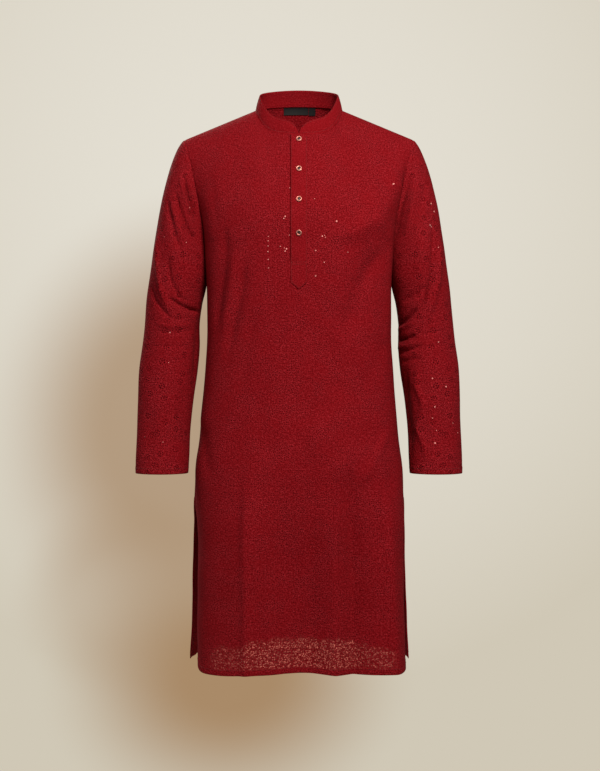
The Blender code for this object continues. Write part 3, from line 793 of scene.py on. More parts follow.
def makePanel(name, side, folds, pleats):
    # the panel's grid, its folds, its seam edges and turned hems, closed into a shell
    neck = np.linspace(0, body["neckShare"], body["neckCells"] + 1)
    shoulder = np.linspace(body["neckShare"], 1, body["shoulderCells"] + 1)[1:]
    half = np.concatenate([neck, shoulder[:-1], [body["lastColumn"], 1.0]])
    if side < 0:
        half[0] = body["neckShare"] * 2 / math.pi * math.asin(body["slitHalf"] / body["neckHalf"])
        across = np.concatenate([-half[::-1], half])
    else:
        across = np.concatenate([-half[:0:-1], half])
    rise = np.insert(np.linspace(1, 0, body["upperRows"] + 1), 1, body["firstRow"])
    steps = round((body["underarm"] - body["hem"]) / body["rowStep"])
    heights = np.linspace(body["underarm"], body["hem"] + body["lastRow"], steps)[1:]
    heights = np.append(heights, body["hem"])
    points = panelSurface(side, across, rise, heights)

    # chart of the flat cloth: u along the rows from the middle, v up the columns
    u = lengthsAlong(points, 1)
    u -= u[:, [len(across) // 2]]
    v = -lengthsAlong(points, 0)
    v -= v[[len(rise) - 1]]
    fromTop, fromHem = v[0] - v, v - v[-1]
    fromSide = (1 - np.abs(across)) * (u[:, [-1]] - u[:, [0]]) / 2
    x, z = points[..., 0], points[..., 2]
    slit = z < body["slitTop"] + body["slitOver"]
    near, over = body["sideFade"]
    opening = ease((body["slitTop"] - z) / over)
    loose = opening + (1 - opening) * ease(fromSide / near)
    lift = foldLift(x, z, folds) + pleatLift(x, z, pleats)
    lift += swells(u, v, 0.4 if side < 0 else 2.1) * ease(fromTop / body["topFade"])
    points = points + gridNormals(points, -side) * (lift * loose)[..., None]
    normals = gridNormals(points, -side)

    atSlit = turnedIn(fromSide, body["slitTurn"]) * slit
    turned = np.maximum(turnedIn(fromHem, body["turnUp"]), atSlit)
    # sewn edges sink into their seams
    sideDip = np.exp(-((fromSide / body["seamReach"]) ** 2)) * ~slit
    topDip = np.exp(-((fromTop / body["seamReach"]) ** 2))
    sunk = body["seamDip"] * np.maximum(sideDip, topDip)
    shift = puckers(u, fromHem, body["turnUp"], body["puckerWave"]) - sunk
    fromCut = np.minimum(fromHem, np.where(slit, fromSide, 1))
    outer, inner = clothFaces(points, normals, turned, shift, fromCut)
    openwork = borderWork(points[..., 0], u, fromHem) * (1 - turned) * (side < 0)

    keep = np.ones((len(points) - 1, len(across) - 1), dtype=bool)
    if side < 0:
        middle = len(across) // 2 - 1
        keep[fromTop[1:, middle] <= body["slitLength"], middle] = False
    piece = addShell(
        name, outer, inner, np.stack([u, v], axis=-1), -side, "embroidered",
        keep=keep, openwork=openwork,
    )
    return {
        "piece": piece, "outer": outer, "inner": inner, "normals": normals, "rise": rise,
        "fromHem": fromHem,
    }


def panelStitches(name, panel):
    # along the hem's turn-up, and down both slits, three columns in from the edges
    outer, normals = panel["outer"], panel["normals"]
    hemRow = np.argmin(np.abs(panel["fromHem"][:, 0] - body["turnUp"] + stitch["inset"]))
    slitRows = np.nonzero(outer[:, 0, 2] < body["slitTop"] + 0.006)[0]
    rows = slice(slitRows[0], hemRow + 1)
    lines = [(outer[hemRow, 3:-3], normals[hemRow, 3:-3], False)]
    for edge in (3, -4):
        lines.append((outer[rows, edge], normals[rows, edge], False))
    return addStitches(name, lines)


front = makePanel("frontCloth", -1, frontFolds, frontPleats)
back = makePanel("backCloth", 1, backFolds, backPleats)
frontStitching = panelStitches("frontStitching", front)
backStitching = panelStitches("backStitching", back)
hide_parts("front_panel")
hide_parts("back_panel")
print("panels made")


sleeve = {
    "columns": 112,
    "upperRows": 66,
    "firstRow": 0.006,
    "rowStep": 0.0031,
    "underarmPull": (0.018, -0.060),   # how it leaves the armhole: outward, up
    "headPull": (0.080, -0.045),
    "swell": 0.030,                    # forward and back between them
    # fullness inside the upper arm: degrees round, reach in degrees, from z, to z, height
    "fullness": [(195, 32, -0.215, -0.365, 0.005), (148, 26, -0.175, -0.350, 0.006)],
    "turnUp": 0.0115,
    "puckerWave": 0.011,
    "foldsFrom": 0.010,                # no fold this near the armhole seam
    "seamRise": (0.0012, 0.003, 0.02),  # the head stands over its seam: by, from, fading over
}
sleeveSections = {
    "z": [-0.300, -0.344, -0.400, -0.440, -0.485, -0.541, -0.597, -0.653, -0.676],
    "x": [0.2272, 0.2316, 0.2376, 0.2395, 0.2438, 0.2485, 0.2518, 0.2532, 0.2535],
    "y": [0.005, 0.006, 0.006, 0.004, 0.001, -0.006, -0.013, -0.022, -0.026],
    "halfWidth": [0.0508, 0.0521, 0.0514, 0.0538, 0.0545, 0.0515, 0.0496, 0.0492, 0.0480],
    "halfDepth": [0.066, 0.062, 0.058, 0.057, 0.056, 0.054, 0.052, 0.051, 0.050],
}
# each sleeve's folds in front and behind, in mm as above
rightFrontFolds = [
    # parallel creases from the shoulder down to the inner arm
    (5.5, -7.5, 0.35, [(-213, -122), (-204, -162), (-193, -196), (-182, -221)]),
    (5, 3.5, 0.4, [(-222, -115), (-211, -166), (-191, -221)]),
    (6, -7.2, 0.3, [(-231, -144), (-220, -185), (-204, -225), (-183, -265)]),
    (6, 2.8, 0.5, [(-238, -166), (-224, -218), (-204, -262)]),
    (7, -4.5, 0.4, [(-246, -159), (-237, -203), (-226, -243), (-205, -287)]),
    (5.5, -2.5, 0.5, [(-198, -85), (-191, -129), (-182, -170)]),
    # the deep folds over the elbow
    (7.5, 5.5, 0.5, [(-261, -214), (-261, -280), (-253, -339), (-233, -390)]),
    (6.5, -5.5, 0.4, [(-242, -269), (-237, -317), (-220, -353), (-193, -364)]),
    (7, -9, 0.3, [(-244, -350), (-222, -364), (-200, -374), (-174, -379)]),
    (6, -4.5, 0.4, [(-277, -320), (-266, -357), (-246, -381), (-226, -397)]),
    (6, 3, 0.5, [(-273, -397), (-237, -405), (-189, -401)]),
    (4.5, -1.8, 0.4, [(-277, -414), (-237, -416), (-189, -412)]),
    (5, -1.4, 0.5, [(-288, -443), (-240, -441), (-189, -443)]),
    (5, -1, 0.6, [(-281, -469), (-244, -471), (-204, -467)]),
    # the inner side turned back, and slack down the forearm
    (9.5, -7, 0.5, [(-182, -368), (-185, -412), (-189, -471), (-194, -541)]),
    (12, -1.8, 0.7, [(-211, -504), (-215, -568), (-207, -641)]),
    (14, -1.8, 0.8, [(-273, -541), (-268, -599), (-281, -662)]),
    (12, 1.8, 0.8, [(-240, -460), (-233, -552), (-240, -641)]),
]
rightBackFolds = [
    (8, -5.5, 0.4, [(-250, -150), (-232, -205), (-205, -262)]),
    (9, 3, 0.5, [(-262, -190), (-242, -245), (-212, -300)]),
    (8, -5, 0.4, [(-272, -255), (-250, -310), (-215, -345)]),
    (7, -6, 0.35, [(-280, -340), (-248, -372), (-202, -390)]),
    (7, 3.5, 0.5, [(-282, -365), (-250, -395), (-206, -408)]),
    (7, -4.5, 0.4, [(-285, -400), (-252, -418), (-212, -428)]),
    (6, -2.5, 0.5, [(-270, -445), (-240, -452), (-205, -448)]),
    (14, -2.8, 0.8, [(-235, -480), (-250, -560), (-240, -640)]),
    (12, -2.2, 0.7, [(-285, -470), (-275, -540), (-282, -610)]),
]
leftFrontFolds = [
    # slack below the shoulder
    (8, -3.5, 0.5, [(207, -111), (196, -155), (185, -199)]),
    (6, 2.5, 0.5, [(198, -85), (189, -137), (178, -188)]),
    (8, 2.8, 0.6, [(222, -129), (207, -183), (195, -247)]),
    (8, -2.8, 0.5, [(237, -129), (226, -177), (207, -232)]),
    (8, -3.5, 0.5, [(187, -174), (184, -214), (182, -254)]),
    # the long crease round the elbow's slack
    (5.5, -8.5, 0.35, [(242, -199), (248, -258), (244, -313), (231, -361), (211, -408)]),
    (6.5, 4.5, 0.5, [(255, -214), (261, -269), (257, -324), (244, -372), (226, -416)]),
    (11, 3, 0.6, [(222, -225), (224, -280), (217, -331)]),
    (8, -4.5, 0.5, [(235, -328), (215, -346), (189, -363)]),
    (6, -6.5, 0.35, [(222, -368), (202, -388), (178, -408)]),
    (5, 3.5, 0.4, [(218, -397), (200, -403), (180, -414)]),
    (6, -7.5, 0.3, [(218, -419), (198, -427), (178, -432)]),
    (4.5, 3, 0.4, [(217, -432), (198, -441), (178, -445)]),
    (5, -4.5, 0.4, [(233, -438), (207, -447), (182, -456)]),
    (5, -3, 0.4, [(229, -462), (206, -467), (185, -471)]),
    (4, -1.8, 0.5, [(277, -412), (244, -416), (218, -423)]),
    (4.5, -1.5, 0.5, [(281, -436), (251, -440), (229, -449)]),
    # the inner side turned back down the forearm
    (8.5, 5, 0.4, [(218, -467), (215, -513), (228, -550), (218, -592), (228, -625), (231, -662)]),
    (9, -5.5, 0.6, [(196, -463), (198, -541), (204, -596), (207, -662)]),
    (12, -2, 0.8, [(273, -504), (266, -577), (277, -651)]),
]
leftBackFolds = [
    (9, -5, 0.4, [(246, -140), (226, -200), (204, -250)]),
    (8, 2.8, 0.5, [(262, -180), (238, -240), (212, -285)]),
    (8, -5.5, 0.4, [(270, -230), (252, -300), (216, -352)]),
    (7.5, -6, 0.35, [(286, -325), (250, -362), (206, -378)]),
    (7, 3.5, 0.5, [(284, -352), (252, -386), (208, -400)]),
    (6.5, -4.5, 0.4, [(286, -392), (254, -412), (210, -416)]),
    (6, -3, 0.5, [(276, -430), (246, -440), (208, -442)]),
    (13, -2.8, 0.8, [(240, -480), (252, -550), (246, -640)]),
    (12, -2, 0.7, [(288, -460), (276, -530), (286, -600)]),
]


def armholeLoop(mirror):
    # up the front panel's edge and down the back panel's, in even steps of rise
    edge = -1 if mirror > 0 else 0
    count = sleeve["columns"] // 2
    wanted = np.arange(count) / count
    rows = len(front["rise"])

    def readEdge(panel, rise):
        line = panel["outer"][:rows, edge]
        known = panel["rise"][::-1]
        return np.stack([np.interp(rise, known, line[::-1, k]) for k in range(3)], axis=-1)

    return np.concatenate([readEdge(front, wanted), readEdge(back, 1 - wanted)])


def sleevePoints(mirror, frontLines, backLines):
    # From the armhole loop each column is one cubic to the first level section, and below it
    # the sleeve is a stack of ellipses, x + a cos, y - b sin.
    loop = armholeLoop(mirror)
    count = len(loop)
    angle = math.pi - np.arange(count) * 2 * math.pi / count
    towardTop = (1 + np.cos(angle)) / 2
    outward, up = [
        low + (high - low) * towardTop
        for low, high in zip(sleeve["underarmPull"], sleeve["headPull"])
    ]
    pull = np.stack([mirror * outward, -sleeve["swell"] * np.sin(angle), up], axis=-1)

    def rings(heights):
        x, y, wide, deep = [
            readTable(sleeveSections, name, heights)[:, None]
            for name in ("x", "y", "halfWidth", "halfDepth")
        ]
        x, y = mirror * (x + wide * np.cos(angle)), y - deep * np.sin(angle)
        return np.stack([x, y, np.broadcast_to(heights[:, None], x.shape)], axis=-1)

    first, last = sleeveSections["z"][0], sleeveSections["z"][-1]
    end, below = rings(np.array([first, first - 0.02]))
    reach = np.linalg.norm(end - loop, axis=-1, keepdims=True)
    endPull = unit(below - end) * reach
    pull = pull * np.clip(reach / 0.2, 0.35, 1.2)
    steps = np.insert(np.linspace(0, 1, sleeve["upperRows"]), 1, sleeve["firstRow"])
    upper = hermite(loop, pull, end, endPull, steps[:, None, None])
    rows = round((first - last) / sleeve["rowStep"])
    heights = np.linspace(first, last + body["lastRow"], rows)[1:]
    points = np.concatenate([upper, rings(np.append(heights, last))])
    normals = gridNormals(points, mirror, ring=True)
    x, z = points[..., 0], points[..., 2]
    # folds in front and folds behind pass into one another over the sleeve's two edges
    lift = foldLift(x, z, frontLines) * ease(np.sin(angle) / 0.5 + 0.4)
    lift += foldLift(x, z, backLines) * ease(-np.sin(angle) / 0.5 + 0.4)
    for place, reachRound, top, foot, high in sleeve["fullness"]:
        away = (np.degrees(angle) - place + 180) % 360 - 180
        fade = ease((z - foot) / 0.045) * ease((top - z) / 0.04)
        lift += high * np.exp(-((away / reachRound) ** 2)) * fade
    return points, normals, lift


def makeSleeve(name, mirror, frontLines, backLines):
    points, normals, lift = sleevePoints(mirror, frontLines, backLines)
    down = lengthsAlong(points, 0)
    closed = np.concatenate([points, points[:, :1]], axis=1)
    u = lengthsAlong(closed, 1)
    v = down[[-1]] - down
    uv = np.stack([u - u[:, [-1]] / 2, np.concatenate([v, v[:, :1]], axis=1)], axis=-1)
    u, whole = u[:, :-1], u[:, [-1]]
    lift = lift + swells(u, down, 1.0 + mirror) * np.sin(math.pi * u / whole) ** 2
    high, near, far = sleeve["seamRise"]
    lift = lift * ease(down / sleeve["foldsFrom"]) + high * ease(down / near) * np.exp(-down / far)
    points = points + normals * lift[..., None]
    normals = gridNormals(points, mirror, ring=True)
    turned = turnedIn(v, sleeve["turnUp"])
    shift = puckers(u, v, sleeve["turnUp"], sleeve["puckerWave"])
    outer, inner = clothFaces(points, normals, turned, shift, v)
    piece = addShell(name, outer, inner, uv, mirror, "flowered", ring=True)
    row = np.argmin(np.abs(v[:, 0] - sleeve["turnUp"] + stitch["inset"]))
    stitching = addStitches(name.replace("Cloth", "Stitching"), [(outer[row], normals[row], True)])
    return {"piece": piece, "stitching": stitching, "outer": outer, "normals": normals}


leftSleeve = makeSleeve("leftSleeveCloth", 1, leftFrontFolds, leftBackFolds)
rightSleeve = makeSleeve("rightSleeveCloth", -1, rightFrontFolds, rightBackFolds)
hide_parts("sleeve_left")
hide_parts("sleeve_right")
print("sleeves made")


collar = {
    "height": 0.031,
    "rounding": 0.042,      # how far round its front ends reach
    "lean": 0.25,           # inward for each unit up
    "thick": 0.0022,
    "endFade": 0.0015,      # it thins over this at its front ends
    "columns": 200,
    "rows": 18,
    "crowd": 0.6,           # how much its columns crowd towards both ends
    "lowerStitch": 0.0052,  # over the neck seam
    "upperStitch": 0.0030,  # under the top edge
    "groove": (0.0004, 0.0012),     # depth and width along the stitches
    "swell": 0.0005,        # between the stitch lines
    "wave": (0.0005, 0.083),
}


def makeCollar(name):
    # Its lower edge is the neckline, from the front's middle round the back and home. Its height
    # is H sqrt(1 - (1 - s / rounding)^2), where s is the way from the nearer front end.
    half = body["neckCells"]
    frontTop, backTop = front["outer"][0], back["outer"][0]
    middle, centre = len(frontTop) // 2, len(backTop) // 2
    rightSide = frontTop[middle - half - 1 : middle][::-1]
    leftSide = frontTop[middle : middle + half + 1]
    behind = backTop[centre - half : centre + half + 1]
    base = np.concatenate([rightSide, behind[1:-1], leftSide[::-1]])
    way = lengthsAlong(base, 0)
    even = np.linspace(0, 1, collar["columns"])
    crowded = (1 - np.cos(np.linspace(0, math.pi, collar["columns"]))) / 2
    along = way[-1] * (collar["crowd"] * crowded + (1 - collar["crowd"]) * even)
    base = np.stack([np.interp(along, way, base[:, k]) for k in range(3)], axis=-1)
    for _ in range(6):
        base[1:-1] = base[1:-1] / 2 + (base[:-2] + base[2:]) / 4
    fromEnd = np.minimum(along, along[-1] - along)
    bare = np.clip(1 - fromEnd / collar["rounding"], 0, 1)
    height = collar["height"] * np.maximum(np.sqrt(1 - bare**2), 0.10)
    inward = -unit(base * np.array([1, 1, 0]))
    rise = unit(inward * collar["lean"] + np.array([0, 0, 1.0]))
    shares = np.concatenate([[1, 0.985, 0.955], np.linspace(0.92, 0, collar["rows"])])
    points = base + rise * (height * shares[:, None])[..., None]
    normals = gridNormals(points, -1)
    # pressed over interlining: a faint swell between the stitch lines, and small waves
    v = height * shares[:, None]
    puff = collar["swell"] * np.sin(math.pi * np.clip(v / np.maximum(height, 1e-6), 0, 1))
    high, long = collar["wave"]
    wave = high * np.sin(2 * math.pi * along / long + 0.8) * shares[:, None]
    deep, wide = collar["groove"]
    grooves = [
        deep * np.exp(-((off / wide) ** 2))
        for off in (v - collar["lowerStitch"], height - v - collar["upperStitch"])
    ]
    lip = np.array([0.35, 0.75, 0.95] + [1.0] * collar["rows"])[:, None]
    thick = collar["thick"] * lip * np.clip(fromEnd / collar["endFade"], 0.4, 1)
    shift = puff + wave - (grooves[0] + grooves[1]) - collar["thick"] / 2
    outer, inner = bothFaces(points + normals * shift[..., None], normals, thick)
    uv = np.stack([np.broadcast_to(along, v.shape), v], axis=-1)
    piece = addShell(name, outer, inner, uv, -1, "pressed")
    ends = slice(5, -5)
    lower = np.argmin(np.abs(shares - collar["lowerStitch"] / collar["height"]))
    upper = np.argmin(np.abs(shares - 1 + collar["upperStitch"] / collar["height"]))
    lines = [(outer[row, ends], normals[row, ends], False) for row in (lower, upper)]
    return {"piece": piece, "stitching": addStitches("collarStitching", lines)}


collarBand = makeCollar("collarCloth")
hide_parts("collar_band")
print("collar made")


def panelLines(grid, x):
    # the panel's rows read at the widths x: one line down the cloth for each
    rows = len(grid)
    wanted = np.broadcast_to(x, (rows, len(x)))
    return np.stack([readRows(wanted, grid[..., 0], grid[..., k]) for k in range(3)], axis=-1)


def pointsDown(lines, below):
    # points at the lengths below the top edge, one column of below for each line
    way = lengthsAlong(lines, 0).T
    return np.stack([readRows(below.T, way, lines[..., k].T).T for k in range(3)], axis=-1)


placket = {
    "width": 0.0295,
    "length": 0.294,
    "point": 0.0125,
    "top": 0.0010,
    "thick": 0.0013,
    "sewnGap": 0.0003,      # off the panel at its sewn edge
    "openGap": 0.0021,      # and at its open edge, on the wearer's right
    "crossStitch": 0.2455,  # how far down the opening ends
    "crossGap": 0.004,      # two rows of cross stitching
    "edgeStitch": 0.0018,
    "closing": 0.012,       # the open edge sinks to the panel over this
    "edgeFade": 0.0008,     # it thins over this at its edges
    "ripple": (0.00025, 0.031),     # of the sewn edge: height, wave
    "sway": (0.0004, 0.013),        # of the open edge
}


def makePlacket(name):
    # A strip on the front panel's own points, moved out; its lower edge comes to a point. The
    # open edge stands further off down to the cross stitching.
    half = placket["width"] / 2
    x = half * np.concatenate([[-1, -0.975], np.linspace(-0.93, 0.93, 21), [0.975, 1]])
    lines = panelLines(front["outer"], x)
    end = placket["length"] - placket["point"] * np.abs(x) / half
    share = np.concatenate([[0, 0.003], np.linspace(0.01, 0.99, 110), [0.997, 1]])[:, None]
    below = placket["top"] + share * (end - placket["top"])
    seat = pointsDown(lines, below)
    normals = gridNormals(seat, 1)
    closing = placket["closing"]
    opened = 1 - ease((below - placket["crossStitch"] + closing) / closing)
    tilt = ease(0.5 - x / placket["width"])
    gap = placket["sewnGap"] + (placket["openGap"] - placket["sewnGap"]) * tilt * opened
    high, wave = placket["ripple"]
    ripple = high * np.sin(2 * math.pi * below / wave) * (1 - tilt)
    high, wave = placket["sway"]
    ripple = ripple + high * np.sin(below / wave) * opened
    edge = np.minimum.reduce([(half - np.abs(x)) + 0 * below, end - below, below - placket["top"]])
    full = np.sqrt(np.clip(edge / placket["edgeFade"], 0, 1))
    thick = placket["thick"] * (0.45 + 0.55 * full)
    middle = seat + normals * (gap + ripple + placket["thick"] / 2)[..., None]
    outer, inner = bothFaces(middle, normals, thick)
    uv = np.stack([x + 0 * below, -below], axis=-1)
    piece = addShell(name, outer, inner, uv, 1, "pressed")

    def stitchLine(xs, belows):
        # a sewn line at the given places, read from the strip's outer face
        def between(value, known):
            # the number of the known value before it, and how far it is on to the next
            place = np.interp(value, known, np.arange(len(known)))
            before = min(int(place), len(known) - 2)
            return before, place - before

        points, ups = [], []
        for along, down in zip(xs, belows):
            column, part = between(along, x)
            rows = [between(down, below[:, n]) for n in (column, column + 1)]
            ends = [
                outer[row, n] * (1 - rest) + outer[row + 1, n] * rest
                for n, (row, rest) in zip((column, column + 1), rows)
            ]
            points.append(ends[0] * (1 - part) + ends[1] * part)
            ups.append(normals[rows[0][0], column])
        return (np.array(points), np.array(ups), False)

    near = half - placket["edgeStitch"]
    tip = placket["length"] - placket["edgeStitch"] * 1.4
    corner = tip - placket["point"] * near / half
    downWay = np.linspace(0.004, corner, 90)
    point, level = np.linspace(-near, near, 21), np.linspace(-near, near, 12)
    cross = np.full(len(level), placket["crossStitch"])
    lines = [
        stitchLine(np.full(len(downWay), -near), downWay),
        stitchLine(np.full(len(downWay), near), downWay),
        stitchLine(point, tip - placket["point"] * np.abs(point) / half),
        stitchLine(level, cross),
        stitchLine(level, cross + placket["crossGap"]),
    ]
    return {
        "piece": piece, "stitching": addStitches("placketStitching", lines),
        "outer": outer, "normals": normals, "below": below, "x": x,
    }


placketStrip = makePlacket("placketCloth")
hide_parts("placket")
print("placket made")


button = {
    "count": 4,
    "first": 0.0118,
    "pitch": 0.0606,
    "radius": 0.0054,
    "height": 0.0022,
    "segments": 48,
    "standOff": 0.0002,
    # profile from the back's rim round to the hole: share of radius, share of height
    "ring": [
        (0.60, 0.02), (0.84, 0.0), (0.95, 0.12), (1.0, 0.38), (0.985, 0.68), (0.92, 0.90),
        (0.82, 1.0), (0.70, 1.0), (0.58, 0.93), (0.50, 0.80), (0.46, 0.62), (0.45, 0.30),
    ],
    "core": [(0.46, 0.28), (0.40, 0.36), (0.26, 0.40), (0.10, 0.41)],
}


def turnedPiece(name, profile, seat, axis, finish, capEnds):
    # a profile of (radius, height) turned about an axis through seat
    sideWay = unit(np.cross(axis, [0, 0, 1.0]))
    upWay = np.cross(sideWay, axis)
    turn = np.arange(button["segments"]) * 2 * math.pi / button["segments"]
    spoke = np.cos(turn)[:, None] * sideWay + np.sin(turn)[:, None] * upWay
    radius, height = np.array(profile).T
    rings = (
        seat + axis * (height * button["height"])[:, None, None]
        + spoke * (radius * button["radius"])[:, None, None]
    )
    starts = np.arange(len(profile)) * len(turn)
    faces = []
    for first, second in zip(starts[:-1], starts[1:]):
        faces += bandFaces(first, second, len(turn))
    if capEnds:
        around = np.arange(len(turn))
        faces += [around.tolist(), (starts[-1] + around[::-1]).tolist()]
    else:
        faces += bandFaces(starts[-1], 0, len(turn))
    return addPiece(name, rings.reshape(-1, 3), faces, finish, sharp=50)


def makeButtons():
    # each a rose gold ring with a dark core, sewn square to the placket
    middle = len(placketStrip["x"]) // 2
    below, line = placketStrip["below"][:, middle], placketStrip["outer"][:, middle]
    for number in range(button["count"]):
        place = button["first"] + number * button["pitch"]
        seat = np.array([np.interp(place, below, line[:, k]) for k in range(3)])
        axis = unit(placketStrip["normals"][np.argmin(np.abs(below - place)), middle])
        seat = seat + axis * button["standOff"]
        ring = turnedPiece(f"buttonRing{number + 1}", button["ring"], seat, axis, "roseGold", False)
        turnedPiece(f"buttonCore{number + 1}", button["core"], seat, axis, "horn", True)
        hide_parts(f"button_{number + 1}")


makeButtons()
print("buttons made")


labels = {
    # node, left edge, right edge, length
    "neckLabel": ("neck_label", -0.0292, 0.0182, 0.0140),
    "sizeTab": ("size_tab", 0.0192, 0.0316, 0.0150),
    "top": 0.0010,      # this far under the neck seam
    "thick": 0.0006,
    "gap": 0.0003,
    "bow": 0.0008,      # the loose lower edge stands off a little
    "rows": 17,
    "columns": 25,
}


def makeLabel(name):
    # a short tape inside the back panel, sewn at its top edge
    node, left, right, long = labels[name]
    x = np.linspace(left, right, labels["columns"])
    lines = panelLines(back["inner"], x)
    down = np.linspace(labels["top"], labels["top"] + long, labels["rows"])
    below = np.broadcast_to(down[:, None], (labels["rows"], labels["columns"]))
    seat = pointsDown(lines, below)
    normals = -gridNormals(seat, -1)
    share = (below - labels["top"]) / long
    stand = labels["gap"] + labels["bow"] * share**2
    far = seat + normals * stand[..., None]
    near = far + normals * labels["thick"]
    uv = np.stack([x + 0 * below, -below], axis=-1)
    # seen from inside, the nearer face is the outer one
    piece = addShell(name, near, far, uv, 1, "label")
    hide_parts(node)
    return piece


neckLabel = makeLabel("neckLabel")
sizeTab = makeLabel("sizeTab")
print("labels made")


sequin = {
    "radius": 0.0017,
    "dish": 0.00035,        # the rim stands over the middle
    "sides": 10,
    # over the dish to its thread hole and back below: share of radius, share of the dish
    "profile": [(1.0, 1.0), (0.55, 0.1), (0.12, 0.0), (0.12, -0.4), (0.55, -0.3), (1.0, 0.7)],
    "standOff": 0.0003,
    "tilt": 0.35,           # most that one leans, in radians
    "scattered": 46,        # on each hidden face
}
# sewn on the front and both sleeves: x and z in mm, and the share of the full size
frontSequins = [
    (-24.5, -213, 0.9), (-26.8, -216.5, 0.7), (67, -221, 1.0), (41.5, -248, 0.7),
    (45.5, -246.5, 0.5), (47, -250, 0.6), (-54.5, -248, 0.5), (-54.8, -256, 0.6),
    (-55, -265, 0.5), (-55.2, -275, 0.6), (-54.8, -289, 0.5), (-54, -304, 0.6),
    (-22.2, -270.5, 0.9), (-24.5, -274.5, 0.7), (-26.2, -269, 0.5), (29.6, -273.5, 0.7),
    (45, -294, 0.7), (29.6, -318.5, 0.8), (27.8, -181, 0.5), (172, -147, 1.0),
    (-16.4, -160.5, 0.5), (-17, -246, 0.5), (-33.2, -266, 0.6), (87.5, -275.5, 0.5),
]
sleeveSequins = [
    (-237, -417, 0.9), (-239, -472, 0.5), (-201, -188, 0.6), (-247, -241, 0.5),
    (-206.5, -252, 0.6), (-282, -608, 0.5), (-248, -617, 0.5), (243, -179, 0.9),
    (248.5, -193.5, 0.9), (240, -220, 1.1), (242.5, -222.5, 0.7), (256, -260, 0.6),
    (256, -434, 0.7), (244.5, -501, 0.8), (269.5, -516, 0.9), (248.5, -553, 0.8),
    (244, -573.5, 0.6), (251, -596, 0.5), (248, -619, 0.9), (291.5, -601, 0.6),
    (282, -583, 0.6),
]


def onCloth(cloth, x, z, side):
    # the nearest grid point that faces that side, slid along its own plane to x and z
    points, normals = cloth["outer"].reshape(-1, 3), cloth["normals"].reshape(-1, 3)
    seen = normals[:, 1] * side > 0.15
    points, normals = points[seen], normals[seen]
    away = (points[None, :, 0] - x[:, None]) ** 2 + (points[None, :, 2] - z[:, None]) ** 2
    nearest = np.argmin(away, axis=1)
    base, normal = points[nearest], normals[nearest]
    slide = normal[:, 0] * (x - base[:, 0]) + normal[:, 2] * (z - base[:, 2])
    return np.stack([x, base[:, 1] - slide / normal[:, 1], z], axis=-1), normal


def scatter(cloth, side, count, random, low, high, halfWidth):
    # places in loose upright columns, thinning out towards the hem
    points = cloth["outer"].reshape(-1, 3)
    middle = (points[:, 0].min() + points[:, 0].max()) / 2
    columns = np.linspace(-halfWidth, halfWidth, 7)
    x = middle + random.choice(columns, count) + random.normal(0, 0.006, count)
    z = high + (low - high) * random.random(count) ** 1.5
    return onCloth(cloth, x, z, side)


def makeSequins():
    # small dished discs, each leaning its own way on its stitch
    random = np.random.default_rng(7)
    x, z, share = np.array(frontSequins).T
    places, sizes = [onCloth(front, x / 1000, z / 1000, -1)], [share]
    for cloth, sign in ((leftSleeve, 1), (rightSleeve, -1)):
        x, z, share = np.array([row for row in sleeveSequins if row[0] * sign > 0]).T
        behind = sequin["scattered"] // 3
        places.append(onCloth(cloth, x / 1000, z / 1000, -1))
        places.append(scatter(cloth, 1, behind, random, -0.64, -0.20, 0.030))
        sizes += [share, random.uniform(0.5, 1, behind)]
    places.append(scatter(back, 1, sequin["scattered"], random, -0.80, -0.10, 0.130))
    sizes.append(random.uniform(0.5, 1, sequin["scattered"]))
    centre = np.concatenate([spot for spot, _ in places])
    normal = np.concatenate([up for _, up in places])
    size = sequin["radius"] * np.concatenate(sizes)[:, None]
    lean = random.uniform(-sequin["tilt"], sequin["tilt"], (len(centre), 3))
    axis = unit(normal + lean * 0.6)
    sideWay = unit(np.cross(axis, [0.1, 0.2, 1.0]))
    upWay = np.cross(sideWay, axis)
    turn = (np.arange(sequin["sides"]) * 2 * math.pi / sequin["sides"])[None, :, None]
    centre = centre + normal * (sequin["standOff"] + size * sequin["tilt"] * 0.5)
    spoke = np.cos(turn) * sideWay[:, None] + np.sin(turn) * upWay[:, None]
    rings = [
        centre[:, None] + spoke * size[:, None] * share + axis[:, None] * sequin["dish"] * lift
        for share, lift in sequin["profile"]
    ]
    points = np.stack(rings, axis=1)
    count, layers, sides = points.shape[:3]
    k = np.arange(sides)
    n = (k + 1) % sides
    quads = []
    for layer in range(layers):
        a, b = layer * sides, (layer + 1) % layers * sides
        quads.append(np.stack([a + k, a + n, b + n, b + k], 1))
    quads = np.concatenate(quads)
    faces = (quads[None] + (np.arange(count) * layers * sides)[:, None, None]).reshape(-1, 4)
    return addPiece("sequins", points.reshape(-1, 3), faces, "sequin")


sequins = makeSequins()
print("sequins made")
# floor, lights and camera
studio = {
    "floor": -1.58,
    "floorRadius": 1.12,
    "floorSides": 96,
    "floorRings": 8,
    "floorColours": ("d9d3c4", "e2dccd"),
    "mottle": 30.0,               # patches per metre
    "target": (0.0, 0.0, -0.45),
    # name: place, size, power, colour
    "lights": {
        "keySoftbox": ((0.62, -1.80, 0.95), 0.6, 44.5, "fff3e4"),
        "fillSoftbox": ((-2.40, -1.10, 0.60), 1.6, 8, "fff6ee"),
        "backFill": ((-1.1, 1.9, 1.1), 1.0, 42, "fff6ec"),
    },
    "sky": "f4f1ea",
    "ambient": 0.18,              # strength of the sky
    "camera": (0.0019, -2.6, -0.5139),
    "metresPerPixel": 0.001872,   # at the side plane, with the picture 600 wide
    "pictureWidth": 600,
    "sensor": 36.0,
}


